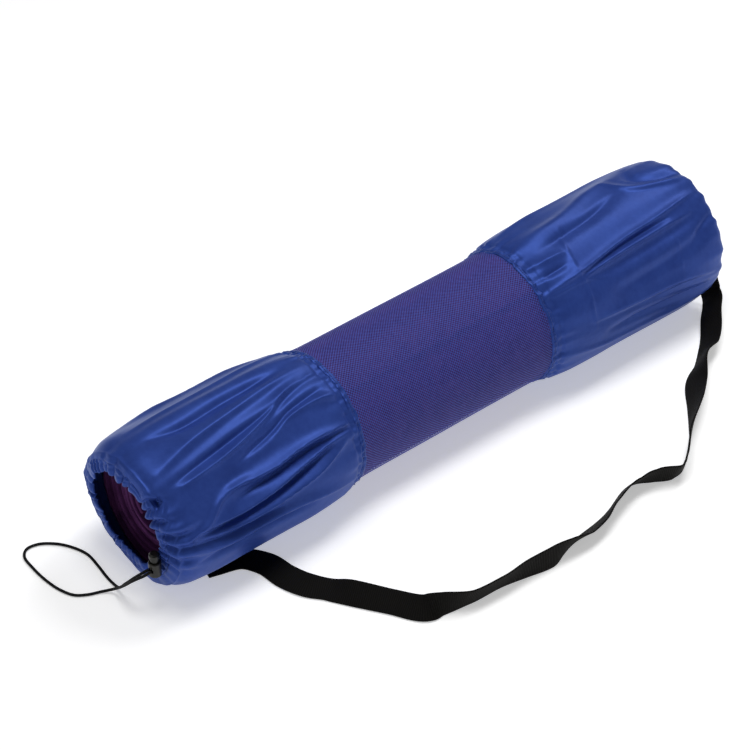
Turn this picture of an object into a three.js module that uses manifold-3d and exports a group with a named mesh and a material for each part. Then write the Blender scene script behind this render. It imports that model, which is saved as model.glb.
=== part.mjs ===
// Yoga mat bag lying on its side on a surface, with the rolled mat inside that holds it in form.
// Two gathered nylon sleeves are sewn to a mesh middle. The left end has a drawstring mouth, a free
// loop of drawcord and a cord lock, the right end is closed, and a webbing strap runs between them.
// Millimetres, +Z up. +X runs along the bag from the mouth to the closed end. The origin is under
// the middle of the whole thing, on the surface that it lies on.
//
// Angles round the bag are in degrees: 0 is the top, 90 the strap's side (-Y), 180 the underside.

import * as THREE from 'three';
import { mergeVertices } from 'three/addons/utils/BufferGeometryUtils.js';
import Module from 'manifold-3d';

// Rolled mat
const MAT_WIDTH = 610;
const MAT_THICKNESS = 6;
const ROLL_PITCH = 7.4;
const ROLL_RADIUS = 66.2;
const ROLL_CORE = 12;
const ROLL_TUCK = 215;
const ROLL_CLIMB = 0.35;
const MOUTH_RECESS = 23;

// Bag body
const FRONT_LENGTH = 205;
const MESH_LENGTH = 239;
const END_ROOM = 47;
const SLEEVE_SLACK = 8.8;
const NYLON = 1.6;
const MESH_WALL = 1.3;
const REST_PRESS = 3;
const RIM_LEAN = 6;

// Seams between the sleeves and the mesh
const SEAM_WIDTH = 5;
const SEAM_THICKNESS = 3;
const SEAM_PUCKERS = 16;

// Mouth
const LIP_REACH = 10;
const MOUTH_RADIUS = 47;
const CASING_WIDTH = 15;
const CASING_THICKNESS = 3.4;
const MOUTH_OFFSET = 5;
const RUFFLE = 1.8;
const RUFFLES = 18;

// Closed end
const END_TURN = 9;
const END_DOME = 5;

// Strap
const STRAP_WIDTH = 25;
const STRAP_THICKNESS = 1.5;
const STRAP_REACH = 235;
const STRAP_ROOT = 4;

// Drawcord and cord lock
const CORD_DIAMETER = 2.8;
const LOCK_RADIUS = 5.9;
const LOCK_LENGTH = 16;
const LOCK_FLOOR = 2.6;
const STEM_RADIUS = 3.9;
const BUTTON_RADIUS = 4.9;
const BUTTON_LENGTH = 6;
const PRESS_STROKE = 4;
const RUNNING_GAP = 0.3;
const LOCK_ANGLE = 112;

// Clearance between pieces that touch, and how fine the facets are
const GAP = 0.3;
const SLEEVE_COLUMNS = 64;
const RING_COLUMNS = 36;
const SEAM_COLUMNS = 48;
const CASING_COLUMNS = 72;
const TURN_STEPS = 16;
const DOME_STEPS = 4;
const STRAP_STEPS = 70;
const CORD_STEPS = 72;
const CORD_SIDES = 8;
const LOCK_SIDES = 24;

// Places that follow from the sizes
const MESH_RADIUS = ROLL_RADIUS + 2 * GAP + MESH_WALL;
const SEAM_RADIUS = MESH_RADIUS - MESH_WALL + (SEAM_THICKNESS + NYLON) / 2;
const SLEEVE_RADIUS = ROLL_RADIUS + SLEEVE_SLACK;
const AXIS_HEIGHT = SLEEVE_RADIUS - REST_PRESS;
const MAT_REACH = MOUTH_RECESS - LIP_REACH + MAT_WIDTH;
const REAR_LENGTH = MAT_REACH + END_ROOM - FRONT_LENGTH - MESH_LENGTH;
const HALF_LENGTH = (FRONT_LENGTH + MESH_LENGTH + REAR_LENGTH) / 2;
const RIM_X = -HALF_LENGTH;
const FRONT_SEAM_X = RIM_X + FRONT_LENGTH;
const REAR_SEAM_X = FRONT_SEAM_X + MESH_LENGTH;
const END_X = REAR_SEAM_X + REAR_LENGTH;
const LIP_X = RIM_X - LIP_REACH;
const MAT_X = LIP_X + MOUTH_RECESS;
const CASING_RADIUS = MOUTH_RADIUS + CASING_WIDTH;
const SEAM_HALF = SEAM_WIDTH / 2 + GAP;
const STRAP_BED = STRAP_THICKNESS + 4 * GAP;

// The front sleeve from its seam to the rim. along is a share of its length, swell of the step
// from the seam's radius to the sleeve's.
const FRONT_SECTIONS = [
  { along: 0.0, swell: 0.0 },
  { along: 0.04, swell: 0.65 },
  { along: 0.13, swell: 1.0 },
  { along: 0.27, swell: 1.07 },
  { along: 0.41, swell: 1.0 },
  { along: 0.55, swell: 0.93 },
  { along: 0.69, swell: 0.93 },
  { along: 0.82, swell: 1.0 },
  { along: 0.93, swell: 0.93 },
  { along: 1.0, swell: 0.6 },
];

// The face between the rim and the mouth. inward is a share of the way to the casing, forward of
// the lip's reach.
const FACE_SECTIONS = [
  { inward: 0.3, forward: 0.35 },
  { inward: 1.0, forward: 0.85 },
];

// The rear sleeve from its seam to the closed end
const REAR_SECTIONS = [
  { along: 0.0, swell: 0.0 },
  { along: 0.035, swell: 0.7 },
  { along: 0.12, swell: 1.0 },
  { along: 0.26, swell: 1.0 },
  { along: 0.41, swell: 0.93 },
  { along: 0.56, swell: 1.0 },
  { along: 0.71, swell: 1.14 },
  { along: 0.85, swell: 1.2 },
  { along: 0.95, swell: 1.0 },
  { along: 1.0, swell: 0.5 },
];

// Folds of the front sleeve. Each runs from one place to another: from and to are shares of the
// sleeve's length from the seam, at and until the angles there, spread its half width and rise its
// height as shares of the sleeve's radius. A negative rise is a trough.
const FRONT_FOLDS = [
  { from: 0.1, at: -42, to: 0.55, until: -42, spread: 0.45, rise: 0.045 },
  { from: 0.06, at: -16, to: 0.96, until: -4, spread: 0.13, rise: 0.03 },
  { from: 0.1, at: -5, to: 0.9, until: 24, spread: 0.1, rise: -0.035 },
  { from: 0.04, at: 0, to: 0.98, until: 35, spread: 0.1, rise: 0.035 },
  { from: 0.1, at: 13, to: 0.95, until: 42, spread: 0.09, rise: -0.035 },
  { from: 0.1, at: 20, to: 0.92, until: 47, spread: 0.09, rise: 0.035 },
  { from: 0.14, at: 30, to: 0.34, until: 33, spread: 0.08, rise: -0.05 },
  { from: 0.03, at: 48, to: 0.9, until: 63, spread: 0.09, rise: -0.04 },
  { from: 0.02, at: 57, to: 0.4, until: 61, spread: 0.09, rise: 0.055 },
  { from: 0.4, at: 61, to: 0.9, until: 79, spread: 0.09, rise: 0.055 },
  { from: 0.04, at: 62, to: 0.5, until: 82, spread: 0.1, rise: -0.045 },
  { from: 0.5, at: 82, to: 0.97, until: 72, spread: 0.1, rise: -0.045 },
  { from: 0.15, at: 73, to: 0.96, until: 92, spread: 0.1, rise: 0.03 },
  { from: 0.3, at: 88, to: 0.95, until: 101, spread: 0.11, rise: -0.03 },
  { from: 0.1, at: 235, to: 0.95, until: 262, spread: 0.13, rise: 0.03 },
  { from: 0.1, at: 300, to: 0.95, until: 285, spread: 0.13, rise: -0.03 },
];

// Folds of the rear sleeve
const REAR_FOLDS = [
  { from: 0.06, at: -42, to: 0.9, until: -40, spread: 0.4, rise: 0.035 },
  { from: 0.05, at: -8, to: 0.6, until: -24, spread: 0.17, rise: 0.03 },
  { from: 0.6, at: -24, to: 0.95, until: -5, spread: 0.17, rise: 0.04 },
  { from: 0.04, at: 10, to: 0.85, until: -1, spread: 0.12, rise: -0.03 },
  { from: 0.02, at: 46, to: 0.36, until: 37, spread: 0.09, rise: 0.045 },
  { from: 0.36, at: 37, to: 0.97, until: 19, spread: 0.09, rise: 0.045 },
  { from: 0.22, at: 37, to: 0.96, until: 13, spread: 0.08, rise: -0.035 },
  { from: 0.26, at: 48, to: 0.95, until: 34, spread: 0.1, rise: -0.03 },
  { from: 0.4, at: 66, to: 0.95, until: 62, spread: 0.13, rise: -0.025 },
  { from: 0.2, at: 84, to: 0.95, until: 88, spread: 0.16, rise: 0.02 },
  { from: 0.1, at: 250, to: 0.95, until: 236, spread: 0.15, rise: 0.03 },
  { from: 0.1, at: 295, to: 0.95, until: 312, spread: 0.14, rise: -0.03 },
];

// The strap's middle line from the mouth end to the closed end. along is a share of half the bag's
// length, out of the strap's reach from the bag's axis, up of its width. turn and lean say in
// degrees which way its width points: turn round the vertical from +X, lean up from level.
const STRAP_ROUTE = [
  { along: -0.89, out: 0.122, up: 0.045, turn: 86, lean: 1 },
  { along: -0.833, out: 0.145, up: 0.045, turn: 78, lean: 1 },
  { along: -0.76, out: 0.185, up: 0.06, turn: 50, lean: 3 },
  { along: -0.727, out: 0.275, up: 0.15, turn: 15, lean: 12 },
  { along: -0.72, out: 0.385, up: 0.2, turn: 6, lean: 18 },
  { along: -0.7, out: 0.47, up: 0.2, turn: 14, lean: 15 },
  { along: -0.663, out: 0.54, up: 0.14, turn: 36, lean: 9 },
  { along: -0.63, out: 0.63, up: 0.28, turn: 27, lean: 30 },
  { along: -0.57, out: 0.76, up: 0.24, turn: 33, lean: 22 },
  { along: -0.527, out: 0.872, up: 0.34, turn: 34, lean: 36 },
  { along: -0.49, out: 0.913, up: 0.51, turn: 66, lean: 80 },
  { along: -0.412, out: 0.958, up: 0.48, turn: 86, lean: 110 },
  { along: -0.309, out: 0.97, up: 0.48, turn: 92, lean: 112 },
  { along: -0.225, out: 0.98, up: 0.51, turn: 94, lean: 98 },
  { along: -0.14, out: 0.996, up: 0.52, turn: 94, lean: 88 },
  { along: -0.075, out: 0.988, up: 0.49, turn: 88, lean: 110 },
  { along: 0.005, out: 0.974, up: 0.38, turn: 84, lean: 136 },
  { along: 0.068, out: 0.96, up: 0.39, turn: 79, lean: 133 },
  { along: 0.135, out: 0.93, up: 0.45, turn: 76, lean: 122 },
  { along: 0.25, out: 0.882, up: 0.43, turn: 84, lean: 126 },
  { along: 0.31, out: 0.91, up: 0.45, turn: 114, lean: 120 },
  { along: 0.37, out: 0.951, up: 0.46, turn: 116, lean: 118 },
  { along: 0.408, out: 0.935, up: 0.49, turn: 150, lean: 104 },
  { along: 0.5, out: 0.838, up: 0.51, turn: 140, lean: 90 },
  { along: 0.576, out: 0.753, up: 0.49, turn: 134, lean: 108 },
  { along: 0.636, out: 0.68, up: 0.42, turn: 130, lean: 126 },
  { along: 0.708, out: 0.583, up: 0.32, turn: 132, lean: 145 },
  { along: 0.782, out: 0.506, up: 0.45, turn: 135, lean: 118 },
  { along: 0.853, out: 0.451, up: 0.34, turn: 138, lean: 140 },
  { along: 0.904, out: 0.394, up: 0.37, turn: 138, lean: 142 },
  { along: 0.95, out: 0.328, up: 0.59, turn: 138, lean: 140 },
  { along: 0.996, out: 0.277, up: 0.88, turn: 128, lean: 131 },
  { along: 1.018, out: 0.258, up: 1.1, turn: 104, lean: 127 },
];

// The drawcord's free loop, millimetres from the bag's axis line on the floor. Both ends come out
// of the cord lock, side by side, and the loop lies on the surface.
const CORD_POINTS = [
  { x: -357.3, y: -41.4, z: 48.7 },
  { x: -362, y: -40, z: 47 },
  { x: -366, y: -33, z: 39 },
  { x: -366.5, y: -18, z: 21 },
  { x: -365, y: -4, z: 5.6 },
  { x: -363.4, y: 8, z: 1.9 },
  { x: -362.5, y: 18, z: 1.8 },
  { x: -359.5, y: 36, z: 1.8 },
  { x: -358, y: 53, z: 1.8 },
  { x: -362.5, y: 69, z: 1.8 },
  { x: -371, y: 83, z: 1.8 },
  { x: -384, y: 93.5, z: 1.8 },
  { x: -396, y: 95, z: 1.8 },
  { x: -403.5, y: 88, z: 1.8 },
  { x: -406.5, y: 70, z: 1.8 },
  { x: -407, y: 48, z: 1.8 },
  { x: -404.5, y: 30, z: 1.8 },
  { x: -399, y: 17, z: 1.8 },
  { x: -389, y: 9.5, z: 1.8 },
  { x: -378, y: 4.5, z: 2.2 },
  { x: -370, y: -3.5, z: 6.2 },
  { x: -370.5, y: -19, z: 21 },
  { x: -369.8, y: -36, z: 39.5 },
  { x: -363, y: -44.2, z: 47.2 },
  { x: -357.3, y: -45, z: 48.7 },
];

const radians = THREE.MathUtils.degToRad;

/** A smooth step from 0 to 1 as a value goes from low to high, either way round. */
function ease(value, low, high) {
  const share = THREE.MathUtils.clamp((value - low) / (high - low), 0, 1);
  return share * share * (3 - 2 * share);
}

/** A point at an angle round the bag's axis, or round a centre beside it. */
function around(x, radius, degrees, centreY = 0) {
  const angle = radians(degrees);
  return new THREE.Vector3(
    x,
    centreY - radius * Math.sin(angle),
    AXIS_HEIGHT + radius * Math.cos(angle),
  );
}

/**
 * A closed body skinned over rings of equal count, either closed on itself or capped. Where crossed
 * says so, a quad is cut along its other diagonal: the two faces of a thin wall are cut alike, so
 * that they stay apart where it twists.
 */
function loft(rings, closed, crossed = () => false) {
  const count = rings[0].length;
  const indices = [];
  const last = closed ? rings.length : rings.length - 1;
  for (let ring = 0; ring < last; ring += 1) {
    const here = ring * count;
    const there = ((ring + 1) % rings.length) * count;
    for (let side = 0; side < count; side += 1) {
      const next = (side + 1) % count;
      const quad = [here + side, here + next, there + next, there + side];
      if (crossed(ring, side)) {
        quad.push(quad.shift());
      }
      indices.push(quad[0], quad[1], quad[2], quad[0], quad[2], quad[3]);
    }
  }
  if (!closed) {
    const end = (rings.length - 1) * count;
    for (let side = 1; side < count - 1; side += 1) {
      indices.push(0, side + 1, side);
      indices.push(end, end + side, end + side + 1);
    }
  }
  const geometry = new THREE.BufferGeometry().setFromPoints(rings.flat());
  geometry.setIndex(indices);
  return facingOut(geometry);
}

/** The same body with its triangles turned, if need be, so that they face out. */
function facingOut(geometry) {
  const index = geometry.getIndex();
  const place = geometry.getAttribute('position');
  const corners = [new THREE.Vector3(), new THREE.Vector3(), new THREE.Vector3()];
  let volume = 0;
  for (let start = 0; start < index.count; start += 3) {
    corners.forEach((corner, side) => corner.fromBufferAttribute(place, index.getX(start + side)));
    volume += corners[0].dot(corners[1].cross(corners[2]));
  }
  if (volume < 0) {
    for (let start = 0; start < index.count; start += 3) {
      const second = index.getX(start + 1);
      index.setX(start + 1, index.getX(start + 2));
      index.setX(start + 2, second);
    }
  }
  return geometry;
}

/** How far the folds in a table lift the cloth at a place on a sleeve. */
function foldRise(folds, length, along, degrees) {
  const arc = radians(1) * SLEEVE_RADIUS;
  let rise = 0;
  for (const fold of folds) {
    const turn = (((degrees - fold.at + 180) % 360) + 360) % 360 - 180;
    const run = new THREE.Vector2((fold.to - fold.from) * length, (fold.until - fold.at) * arc);
    const place = new THREE.Vector2((along - fold.from) * length, turn * arc);
    const share = THREE.MathUtils.clamp(place.dot(run) / run.lengthSq(), 0, 1);
    const distance = place.sub(run.multiplyScalar(share)).length() / (fold.spread * SLEEVE_RADIUS);
    rise += fold.rise * SLEEVE_RADIUS * Math.exp(-distance * distance);
  }
  return rise;
}

/** Small even gathers beside a seam that die out with the distance from it. */
function gather(degrees, count, depth, distance, reach) {
  return depth * Math.cos(count * radians(degrees)) * Math.exp(-distance / reach);
}

/** The least height of cloth over a spot on the floor: the strap's end lies under one sleeve. */
function floorHeight(y, bed) {
  return bed * ease(y, -9, -15);
}

/** A cloth wall round the bag from sections of its outer side, flat where it rests. */
function clothWall(sections, wall, columns, bed) {
  const outer = [];
  const inner = [];
  sections.forEach((section, index) => {
    const before = sections[Math.max(index - 1, 0)];
    const after = sections[Math.min(index + 1, sections.length - 1)];
    const run = new THREE.Vector2(after.x - before.x, after.radius - before.radius).normalize();
    const slope = new THREE.Vector2(run.y, -run.x).multiplyScalar(section.side);
    const normal = section.facing ?? slope;
    const inward = section.mitre ?? normal;
    const rings = { outer: [], inner: [] };
    for (let column = 0; column < columns; column += 1) {
      const degrees = (column * 360) / columns;
      const lean = section.lean * Math.cos(radians(degrees));
      const lift = section.lift(degrees);
      for (const [ring, depth] of [['outer', 0], ['inner', wall]]) {
        const x = section.x + lean + normal.x * lift - inward.x * depth;
        const radius = section.radius + normal.y * lift - inward.y * depth;
        const point = around(x, radius, degrees, section.centreY);
        const bottom = floorHeight(point.y, bed) + (ring === 'inner' ? wall : 0);
        point.z = Math.max(point.z, bottom);
        rings[ring].push(point);
      }
    }
    outer.push(rings.outer);
    inner.push(rings.inner);
  });
  return loft([...outer, ...inner.reverse()], true, (ring) => ring >= outer.length);
}

/** The way out from the axis, along and across it, in which the cloth's edges are lifted. */
const RADIAL = new THREE.Vector2(0, 1);

/** The gathered nylon sleeve at the mouth, with its face turned in to the casing. */
function frontSleeve() {
  const start = FRONT_SEAM_X - SEAM_HALF;
  const length = start - RIM_X;
  const sleeve = FRONT_SECTIONS.map(({ along, swell }) => ({
    x: start - along * length,
    radius: THREE.MathUtils.lerp(SEAM_RADIUS, SLEEVE_RADIUS, swell),
    centreY: 0,
    lean: -RIM_LEAN * ease(along, 0.5, 1),
    side: 1,
    facing: along === 0 || along === 1 ? RADIAL : undefined,
    mitre: along === 1 ? new THREE.Vector2(-0.4, 1) : undefined,
    lift: (degrees) => ease(along, 0, 0.05) * foldRise(FRONT_FOLDS, length, along, degrees)
      + gather(degrees, 21, 1.1, along * length, 14)
      + gather(degrees, 16, 1.2, (1 - along) * length, 22),
  }));
  const face = FACE_SECTIONS.map(({ inward, forward }) => ({
    x: RIM_X - forward * LIP_REACH,
    radius: THREE.MathUtils.lerp(SLEEVE_RADIUS, CASING_RADIUS + GAP, inward),
    centreY: MOUTH_OFFSET * inward,
    lean: -RIM_LEAN,
    side: 1,
    facing: new THREE.Vector2(-1, 0),
    mitre: new THREE.Vector2(-0.8, 1 - inward),
    lift: (degrees) => gather(degrees, 16, 1.2, 0, 1) * (1 - inward),
  }));
  return clothWall([...sleeve, ...face], NYLON, SLEEVE_COLUMNS, STRAP_BED);
}

/** Where the front of the casing lies at an angle, beside a ruffle. */
function casingFront(degrees) {
  return LIP_X - RIM_LEAN * Math.cos(radians(degrees)) - CASING_THICKNESS / 2 - RUFFLE * 0.4;
}

/** The ruffled hem that holds the drawcord round the mouth. */
function mouthCasing() {
  const middle = MOUTH_RADIUS + CASING_WIDTH / 2;
  const corners = [
    { across: 0.98, front: -0.35 },
    { across: 0.98, front: 0.35 },
    { across: 0.0, front: 0.5 },
    { across: -0.85, front: 0.42 },
    { across: -1.0, front: 0.0 },
    { across: -0.85, front: -0.42 },
    { across: 0.0, front: -0.5 },
  ];
  const rings = [];
  for (let column = 0; column < CASING_COLUMNS; column += 1) {
    const degrees = (column * 360) / CASING_COLUMNS;
    const wave = Math.cos(RUFFLES * radians(degrees));
    const drift = Math.sin(3 * radians(degrees) + 0.6);
    rings.push(corners.map(({ across, front }) => {
      const free = (1 - across) / 2;
      const x = LIP_X + 0.15 * LIP_REACH * (1 + across) / 2 - RIM_LEAN * Math.cos(radians(degrees))
        - front * CASING_THICKNESS + RUFFLE * free * (0.7 * wave + 0.5 * drift);
      const radius = middle + across * CASING_WIDTH / 2 + free * (0.8 * wave + 0.6 * drift);
      return around(x, radius, degrees, MOUTH_OFFSET);
    }));
  }
  return loft(rings, true);
}

/** A puckered band sewn round the bag where a sleeve meets the mesh. */
function seamBand(x, puckers) {
  const rings = [];
  const section = [[-1, 0], [-1, 1], [1, 1], [1, 0]];
  for (let column = 0; column < SEAM_COLUMNS; column += 1) {
    const degrees = (column * 360) / SEAM_COLUMNS;
    const pucker = 0.35 * Math.cos(puckers * radians(degrees));
    rings.push(section.map(([across, height]) => {
      const radius = MESH_RADIUS - MESH_WALL + height * (SEAM_THICKNESS + pucker);
      return around(x + (across * SEAM_WIDTH) / 2, radius, degrees);
    }));
  }
  return loft(rings, true);
}

/** The plain stretched tube of mesh between the two seams. */
function meshSleeve() {
  const places = [0, 0.5, 1];
  const start = FRONT_SEAM_X + SEAM_HALF;
  const length = REAR_SEAM_X - SEAM_HALF - start;
  const sections = places.map((along) => ({
    x: start + along * length,
    radius: MESH_RADIUS,
    centreY: 0,
    lean: 0,
    side: -1,
    lift: () => 0,
  }));
  return clothWall(sections, MESH_WALL, RING_COLUMNS, 0);
}

/** The gathered nylon sleeve at the closed end, turned in to the end panel. */
function rearSleeve() {
  const start = REAR_SEAM_X + SEAM_HALF;
  const length = END_X - start;
  const sleeve = REAR_SECTIONS.map(({ along, swell }) => ({
    x: start + along * length,
    radius: THREE.MathUtils.lerp(SEAM_RADIUS, SLEEVE_RADIUS, swell),
    centreY: 0,
    lean: 0,
    side: -1,
    lift: (degrees) => ease(along, 0, 0.05) * foldRise(REAR_FOLDS, length, along, degrees)
      * (1 - 0.7 * ease(along, 0.9, 1))
      + gather(degrees, 21, 1.1, along * length, 14)
      + gather(degrees, 16, 1, (1 - along) * length, 16),
    facing: along === 0 || along === 1 ? RADIAL : undefined,
    mitre: along === 1 ? new THREE.Vector2(1, 1) : undefined,
  }));
  const turn = {
    x: END_X,
    radius: SLEEVE_RADIUS - END_TURN,
    centreY: 0,
    lean: 0,
    side: -1,
    lift: () => 0,
  };
  return clothWall([...sleeve, turn], NYLON, SLEEVE_COLUMNS, 0);
}

/** The round panel that closes the far end, a little domed. */
function endPanel() {
  const radius = SLEEVE_RADIUS - END_TURN - GAP;
  const front = [];
  const back = [];
  for (let step = 0; step <= DOME_STEPS; step += 1) {
    const share = step / DOME_STEPS;
    const dome = END_DOME * (1 - share * share);
    front.push(new THREE.Vector2(share * radius, dome));
    back.push(new THREE.Vector2(share * radius, dome - NYLON));
  }
  const profile = [...back, ...front.reverse()];
  profile.push(profile[0].clone());
  const geometry = new THREE.LatheGeometry(profile, RING_COLUMNS);
  return weld(geometry);
}

/** One body with its doubled seam vertices merged and its thin triangles dropped. */
function weld(geometry) {
  geometry.deleteAttribute('normal');
  geometry.deleteAttribute('uv');
  const merged = mergeVertices(geometry, 1e-4);
  const index = merged.getIndex();
  const kept = [];
  for (let start = 0; start < index.count; start += 3) {
    const [first, second, third] = [0, 1, 2].map((side) => index.getX(start + side));
    if (first !== second && second !== third && third !== first) {
      kept.push(first, second, third);
    }
  }
  merged.setIndex(kept);
  return facingOut(merged);
}

/**
 * The mat rolled up: a strip wound from the core out, its outer edge tucked under the back. Each
 * turn is round but for the stretch past the tuck, where it climbs over the edge of the turn below.
 */
function rolledMat() {
  const turns = (ROLL_RADIUS - MAT_THICKNESS - ROLL_CORE) / ROLL_PITCH;
  const steps = Math.round(turns * TURN_STEPS);
  const outside = [];
  const inside = [];
  for (let step = 0; step <= steps; step += 1) {
    const left = (1 - step / steps) * turns;
    const whole = Math.ceil(left);
    const climb = ease(whole - left, 0, ROLL_CLIMB);
    const low = ROLL_RADIUS - MAT_THICKNESS - (whole - climb) * ROLL_PITCH;
    const angle = radians(ROLL_TUCK - 360 * left);
    const ray = new THREE.Vector2(-Math.cos(angle), -Math.sin(angle));
    outside.push(ray.clone().multiplyScalar(low + MAT_THICKNESS));
    inside.push(ray.multiplyScalar(low));
  }
  const strip = new THREE.Shape([...outside, ...inside.reverse()]);
  return new THREE.ExtrudeGeometry(strip, { depth: MAT_WIDTH, bevelEnabled: false });
}

/** The webbing strap, twisting along its route between the two ends of the bag. */
function shoulderStrap() {
  const middle = STRAP_ROUTE.map(({ along, out, up }) => new THREE.Vector3(
    along * HALF_LENGTH,
    -out * STRAP_REACH,
    up * STRAP_WIDTH,
  ));
  const widths = STRAP_ROUTE.map(({ turn, lean }) => new THREE.Vector3(
    Math.cos(radians(lean)) * Math.cos(radians(turn)),
    Math.cos(radians(lean)) * Math.sin(radians(turn)),
    Math.sin(radians(lean)),
  ));
  const bend = middle.length - 1;
  for (const stand of [STRAP_ROOT, GAP]) {
    middle.push(new THREE.Vector3(END_X + stand, middle[bend].y + 1.5, middle[bend].z + 3));
    widths.push(widths[bend].clone());
  }
  const line = new THREE.CatmullRomCurve3(middle, false, 'centripetal');
  const edge = new THREE.CatmullRomCurve3(widths, false, 'centripetal');
  const rings = [];
  for (let step = 0; step <= STRAP_STEPS; step += 1) {
    const share = line.getUtoTmapping(step / STRAP_STEPS);
    const place = line.getPoint(share);
    const along = line.getTangent(share);
    const across = edge.getPoint(share);
    across.addScaledVector(along, -across.dot(along)).normalize();
    const face = new THREE.Vector3().crossVectors(along, across);
    const ring = [[-1, -1], [1, -1], [1, 1], [-1, 1]].map(([wide, thick]) => place.clone()
      .addScaledVector(across, (wide * STRAP_WIDTH) / 2)
      .addScaledVector(face, (thick * STRAP_THICKNESS) / 2));
    const low = Math.min(...ring.map((corner) => corner.z));
    ring.forEach((corner) => corner.setZ(corner.z + Math.max(GAP - low, 0)));
    rings.push(ring);
  }
  return loft(rings, false, (ring, side) => side === 2);
}

/** The free loop of drawcord in front of the mouth. */
function drawcord() {
  const points = CORD_POINTS.map(({ x, y, z }) => new THREE.Vector3(x, y, z));
  const section = new THREE.Shape();
  for (let side = 0; side < CORD_SIDES; side += 1) {
    const angle = (side * 2 * Math.PI) / CORD_SIDES;
    const spot = [(CORD_DIAMETER / 2) * Math.cos(angle), (CORD_DIAMETER / 2) * Math.sin(angle)];
    if (side === 0) {
      section.moveTo(...spot);
    } else {
      section.lineTo(...spot);
    }
  }
  section.closePath();
  return new THREE.ExtrudeGeometry(section, {
    steps: CORD_STEPS,
    extrudePath: new THREE.CatmullRomCurve3(points, false, 'centripetal'),
  });
}

/** A body of revolution about +Z from a closed profile of [radius, height] pairs. */
function turned(profile) {
  const points = profile.map(([radius, height]) => new THREE.Vector2(radius, height));
  points.push(points[0].clone());
  const geometry = new THREE.LatheGeometry(points, LOCK_SIDES);
  geometry.rotateX(Math.PI / 2);
  return weld(geometry);
}

/** The cord lock's barrel: a cup with a slot right through it for the two strands. */
async function lockBarrel() {
  const wasm = await Module();
  wasm.setup();
  const bore = STEM_RADIUS + RUNNING_GAP;
  const cup = turned([
    [0, 0],
    [LOCK_RADIUS - 1.2, 0],
    [LOCK_RADIUS, 1.2],
    [LOCK_RADIUS, LOCK_LENGTH - 0.8],
    [LOCK_RADIUS - 0.8, LOCK_LENGTH],
    [bore, LOCK_LENGTH],
    [bore, LOCK_FLOOR],
    [0, LOCK_FLOOR],
  ]);
  const slot = new THREE.BoxGeometry(4 * LOCK_RADIUS, slotWidth(), slotHeight());
  slot.translate(0, 0, LOCK_LENGTH / 2);
  const solid = asManifold(wasm, cup).subtract(asManifold(wasm, weld(slot)));
  const mesh = solid.getMesh();
  const geometry = new THREE.BufferGeometry();
  geometry.setAttribute('position', new THREE.BufferAttribute(mesh.vertProperties, 3));
  geometry.setIndex(new THREE.BufferAttribute(mesh.triVerts, 1));
  return geometry;
}

/** The slot takes both strands side by side with room round them. */
function slotWidth() {
  return 2 * CORD_DIAMETER + 6 * GAP;
}

function slotHeight() {
  return CORD_DIAMETER + 3 * GAP;
}

/** A merged three.js body as a solid that can be cut. */
function asManifold(wasm, geometry) {
  return new wasm.Manifold(new wasm.Mesh({
    numProp: 3,
    vertProperties: new Float32Array(geometry.getAttribute('position').array),
    triVerts: new Uint32Array(geometry.getIndex().array),
  }));
}

/** The button that is pressed into the barrel to free the cord, from the foot of its stem. */
function lockPlunger() {
  const foot = LOCK_LENGTH / 2 + slotHeight() / 2 + GAP;
  return turned([
    [0, foot],
    [STEM_RADIUS, foot],
    [STEM_RADIUS, LOCK_LENGTH + PRESS_STROKE + GAP],
    [BUTTON_RADIUS, LOCK_LENGTH + PRESS_STROKE + GAP],
    [BUTTON_RADIUS, LOCK_LENGTH + PRESS_STROKE + BUTTON_LENGTH - 1.6],
    [BUTTON_RADIUS - 1.4, LOCK_LENGTH + PRESS_STROKE + BUTTON_LENGTH],
    [0, LOCK_LENGTH + PRESS_STROKE + BUTTON_LENGTH],
  ]);
}

/** The finishes, one for each piece. */
function finish(color, roughness, metalness = 0) {
  return new THREE.MeshStandardMaterial({ color, roughness, metalness });
}

const NYLON_BLUE = 0x243a94;
const MESH_VIOLET = 0x3c378c;
const MAT_PURPLE = 0x462350;
const WEBBING_BLACK = 0x14120f;
const LOCK_OLIVE = 0x2b2820;

/** A named mesh of one piece. */
function piece(name, geometry, material) {
  const mesh = new THREE.Mesh(geometry, material);
  mesh.name = name;
  return mesh;
}

const bag = new THREE.Group();
bag.add(
  piece('front_sleeve', frontSleeve(), finish(NYLON_BLUE, 0.45)),
  piece('mouth_casing', mouthCasing(), finish(NYLON_BLUE, 0.5)),
  piece('front_seam', seamBand(FRONT_SEAM_X, SEAM_PUCKERS), finish(NYLON_BLUE, 0.5)),
  piece('mesh_sleeve', meshSleeve(), finish(MESH_VIOLET, 0.8)),
  piece('rear_seam', seamBand(REAR_SEAM_X, SEAM_PUCKERS), finish(NYLON_BLUE, 0.5)),
  piece('rear_sleeve', rearSleeve(), finish(NYLON_BLUE, 0.45)),
  piece('shoulder_strap', shoulderStrap(), finish(WEBBING_BLACK, 0.85)),
);

const panel = piece('end_panel', endPanel(), finish(NYLON_BLUE, 0.5));
panel.position.set(END_X, 0, AXIS_HEIGHT);
panel.rotation.set(0, 0, -Math.PI / 2);
bag.add(panel);

const mat = piece('rolled_mat', rolledMat(), finish(MAT_PURPLE, 0.9));
mat.position.set(MAT_X, 0, AXIS_HEIGHT);
mat.rotation.set(0, Math.PI / 2, 0);
bag.add(mat);

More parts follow.
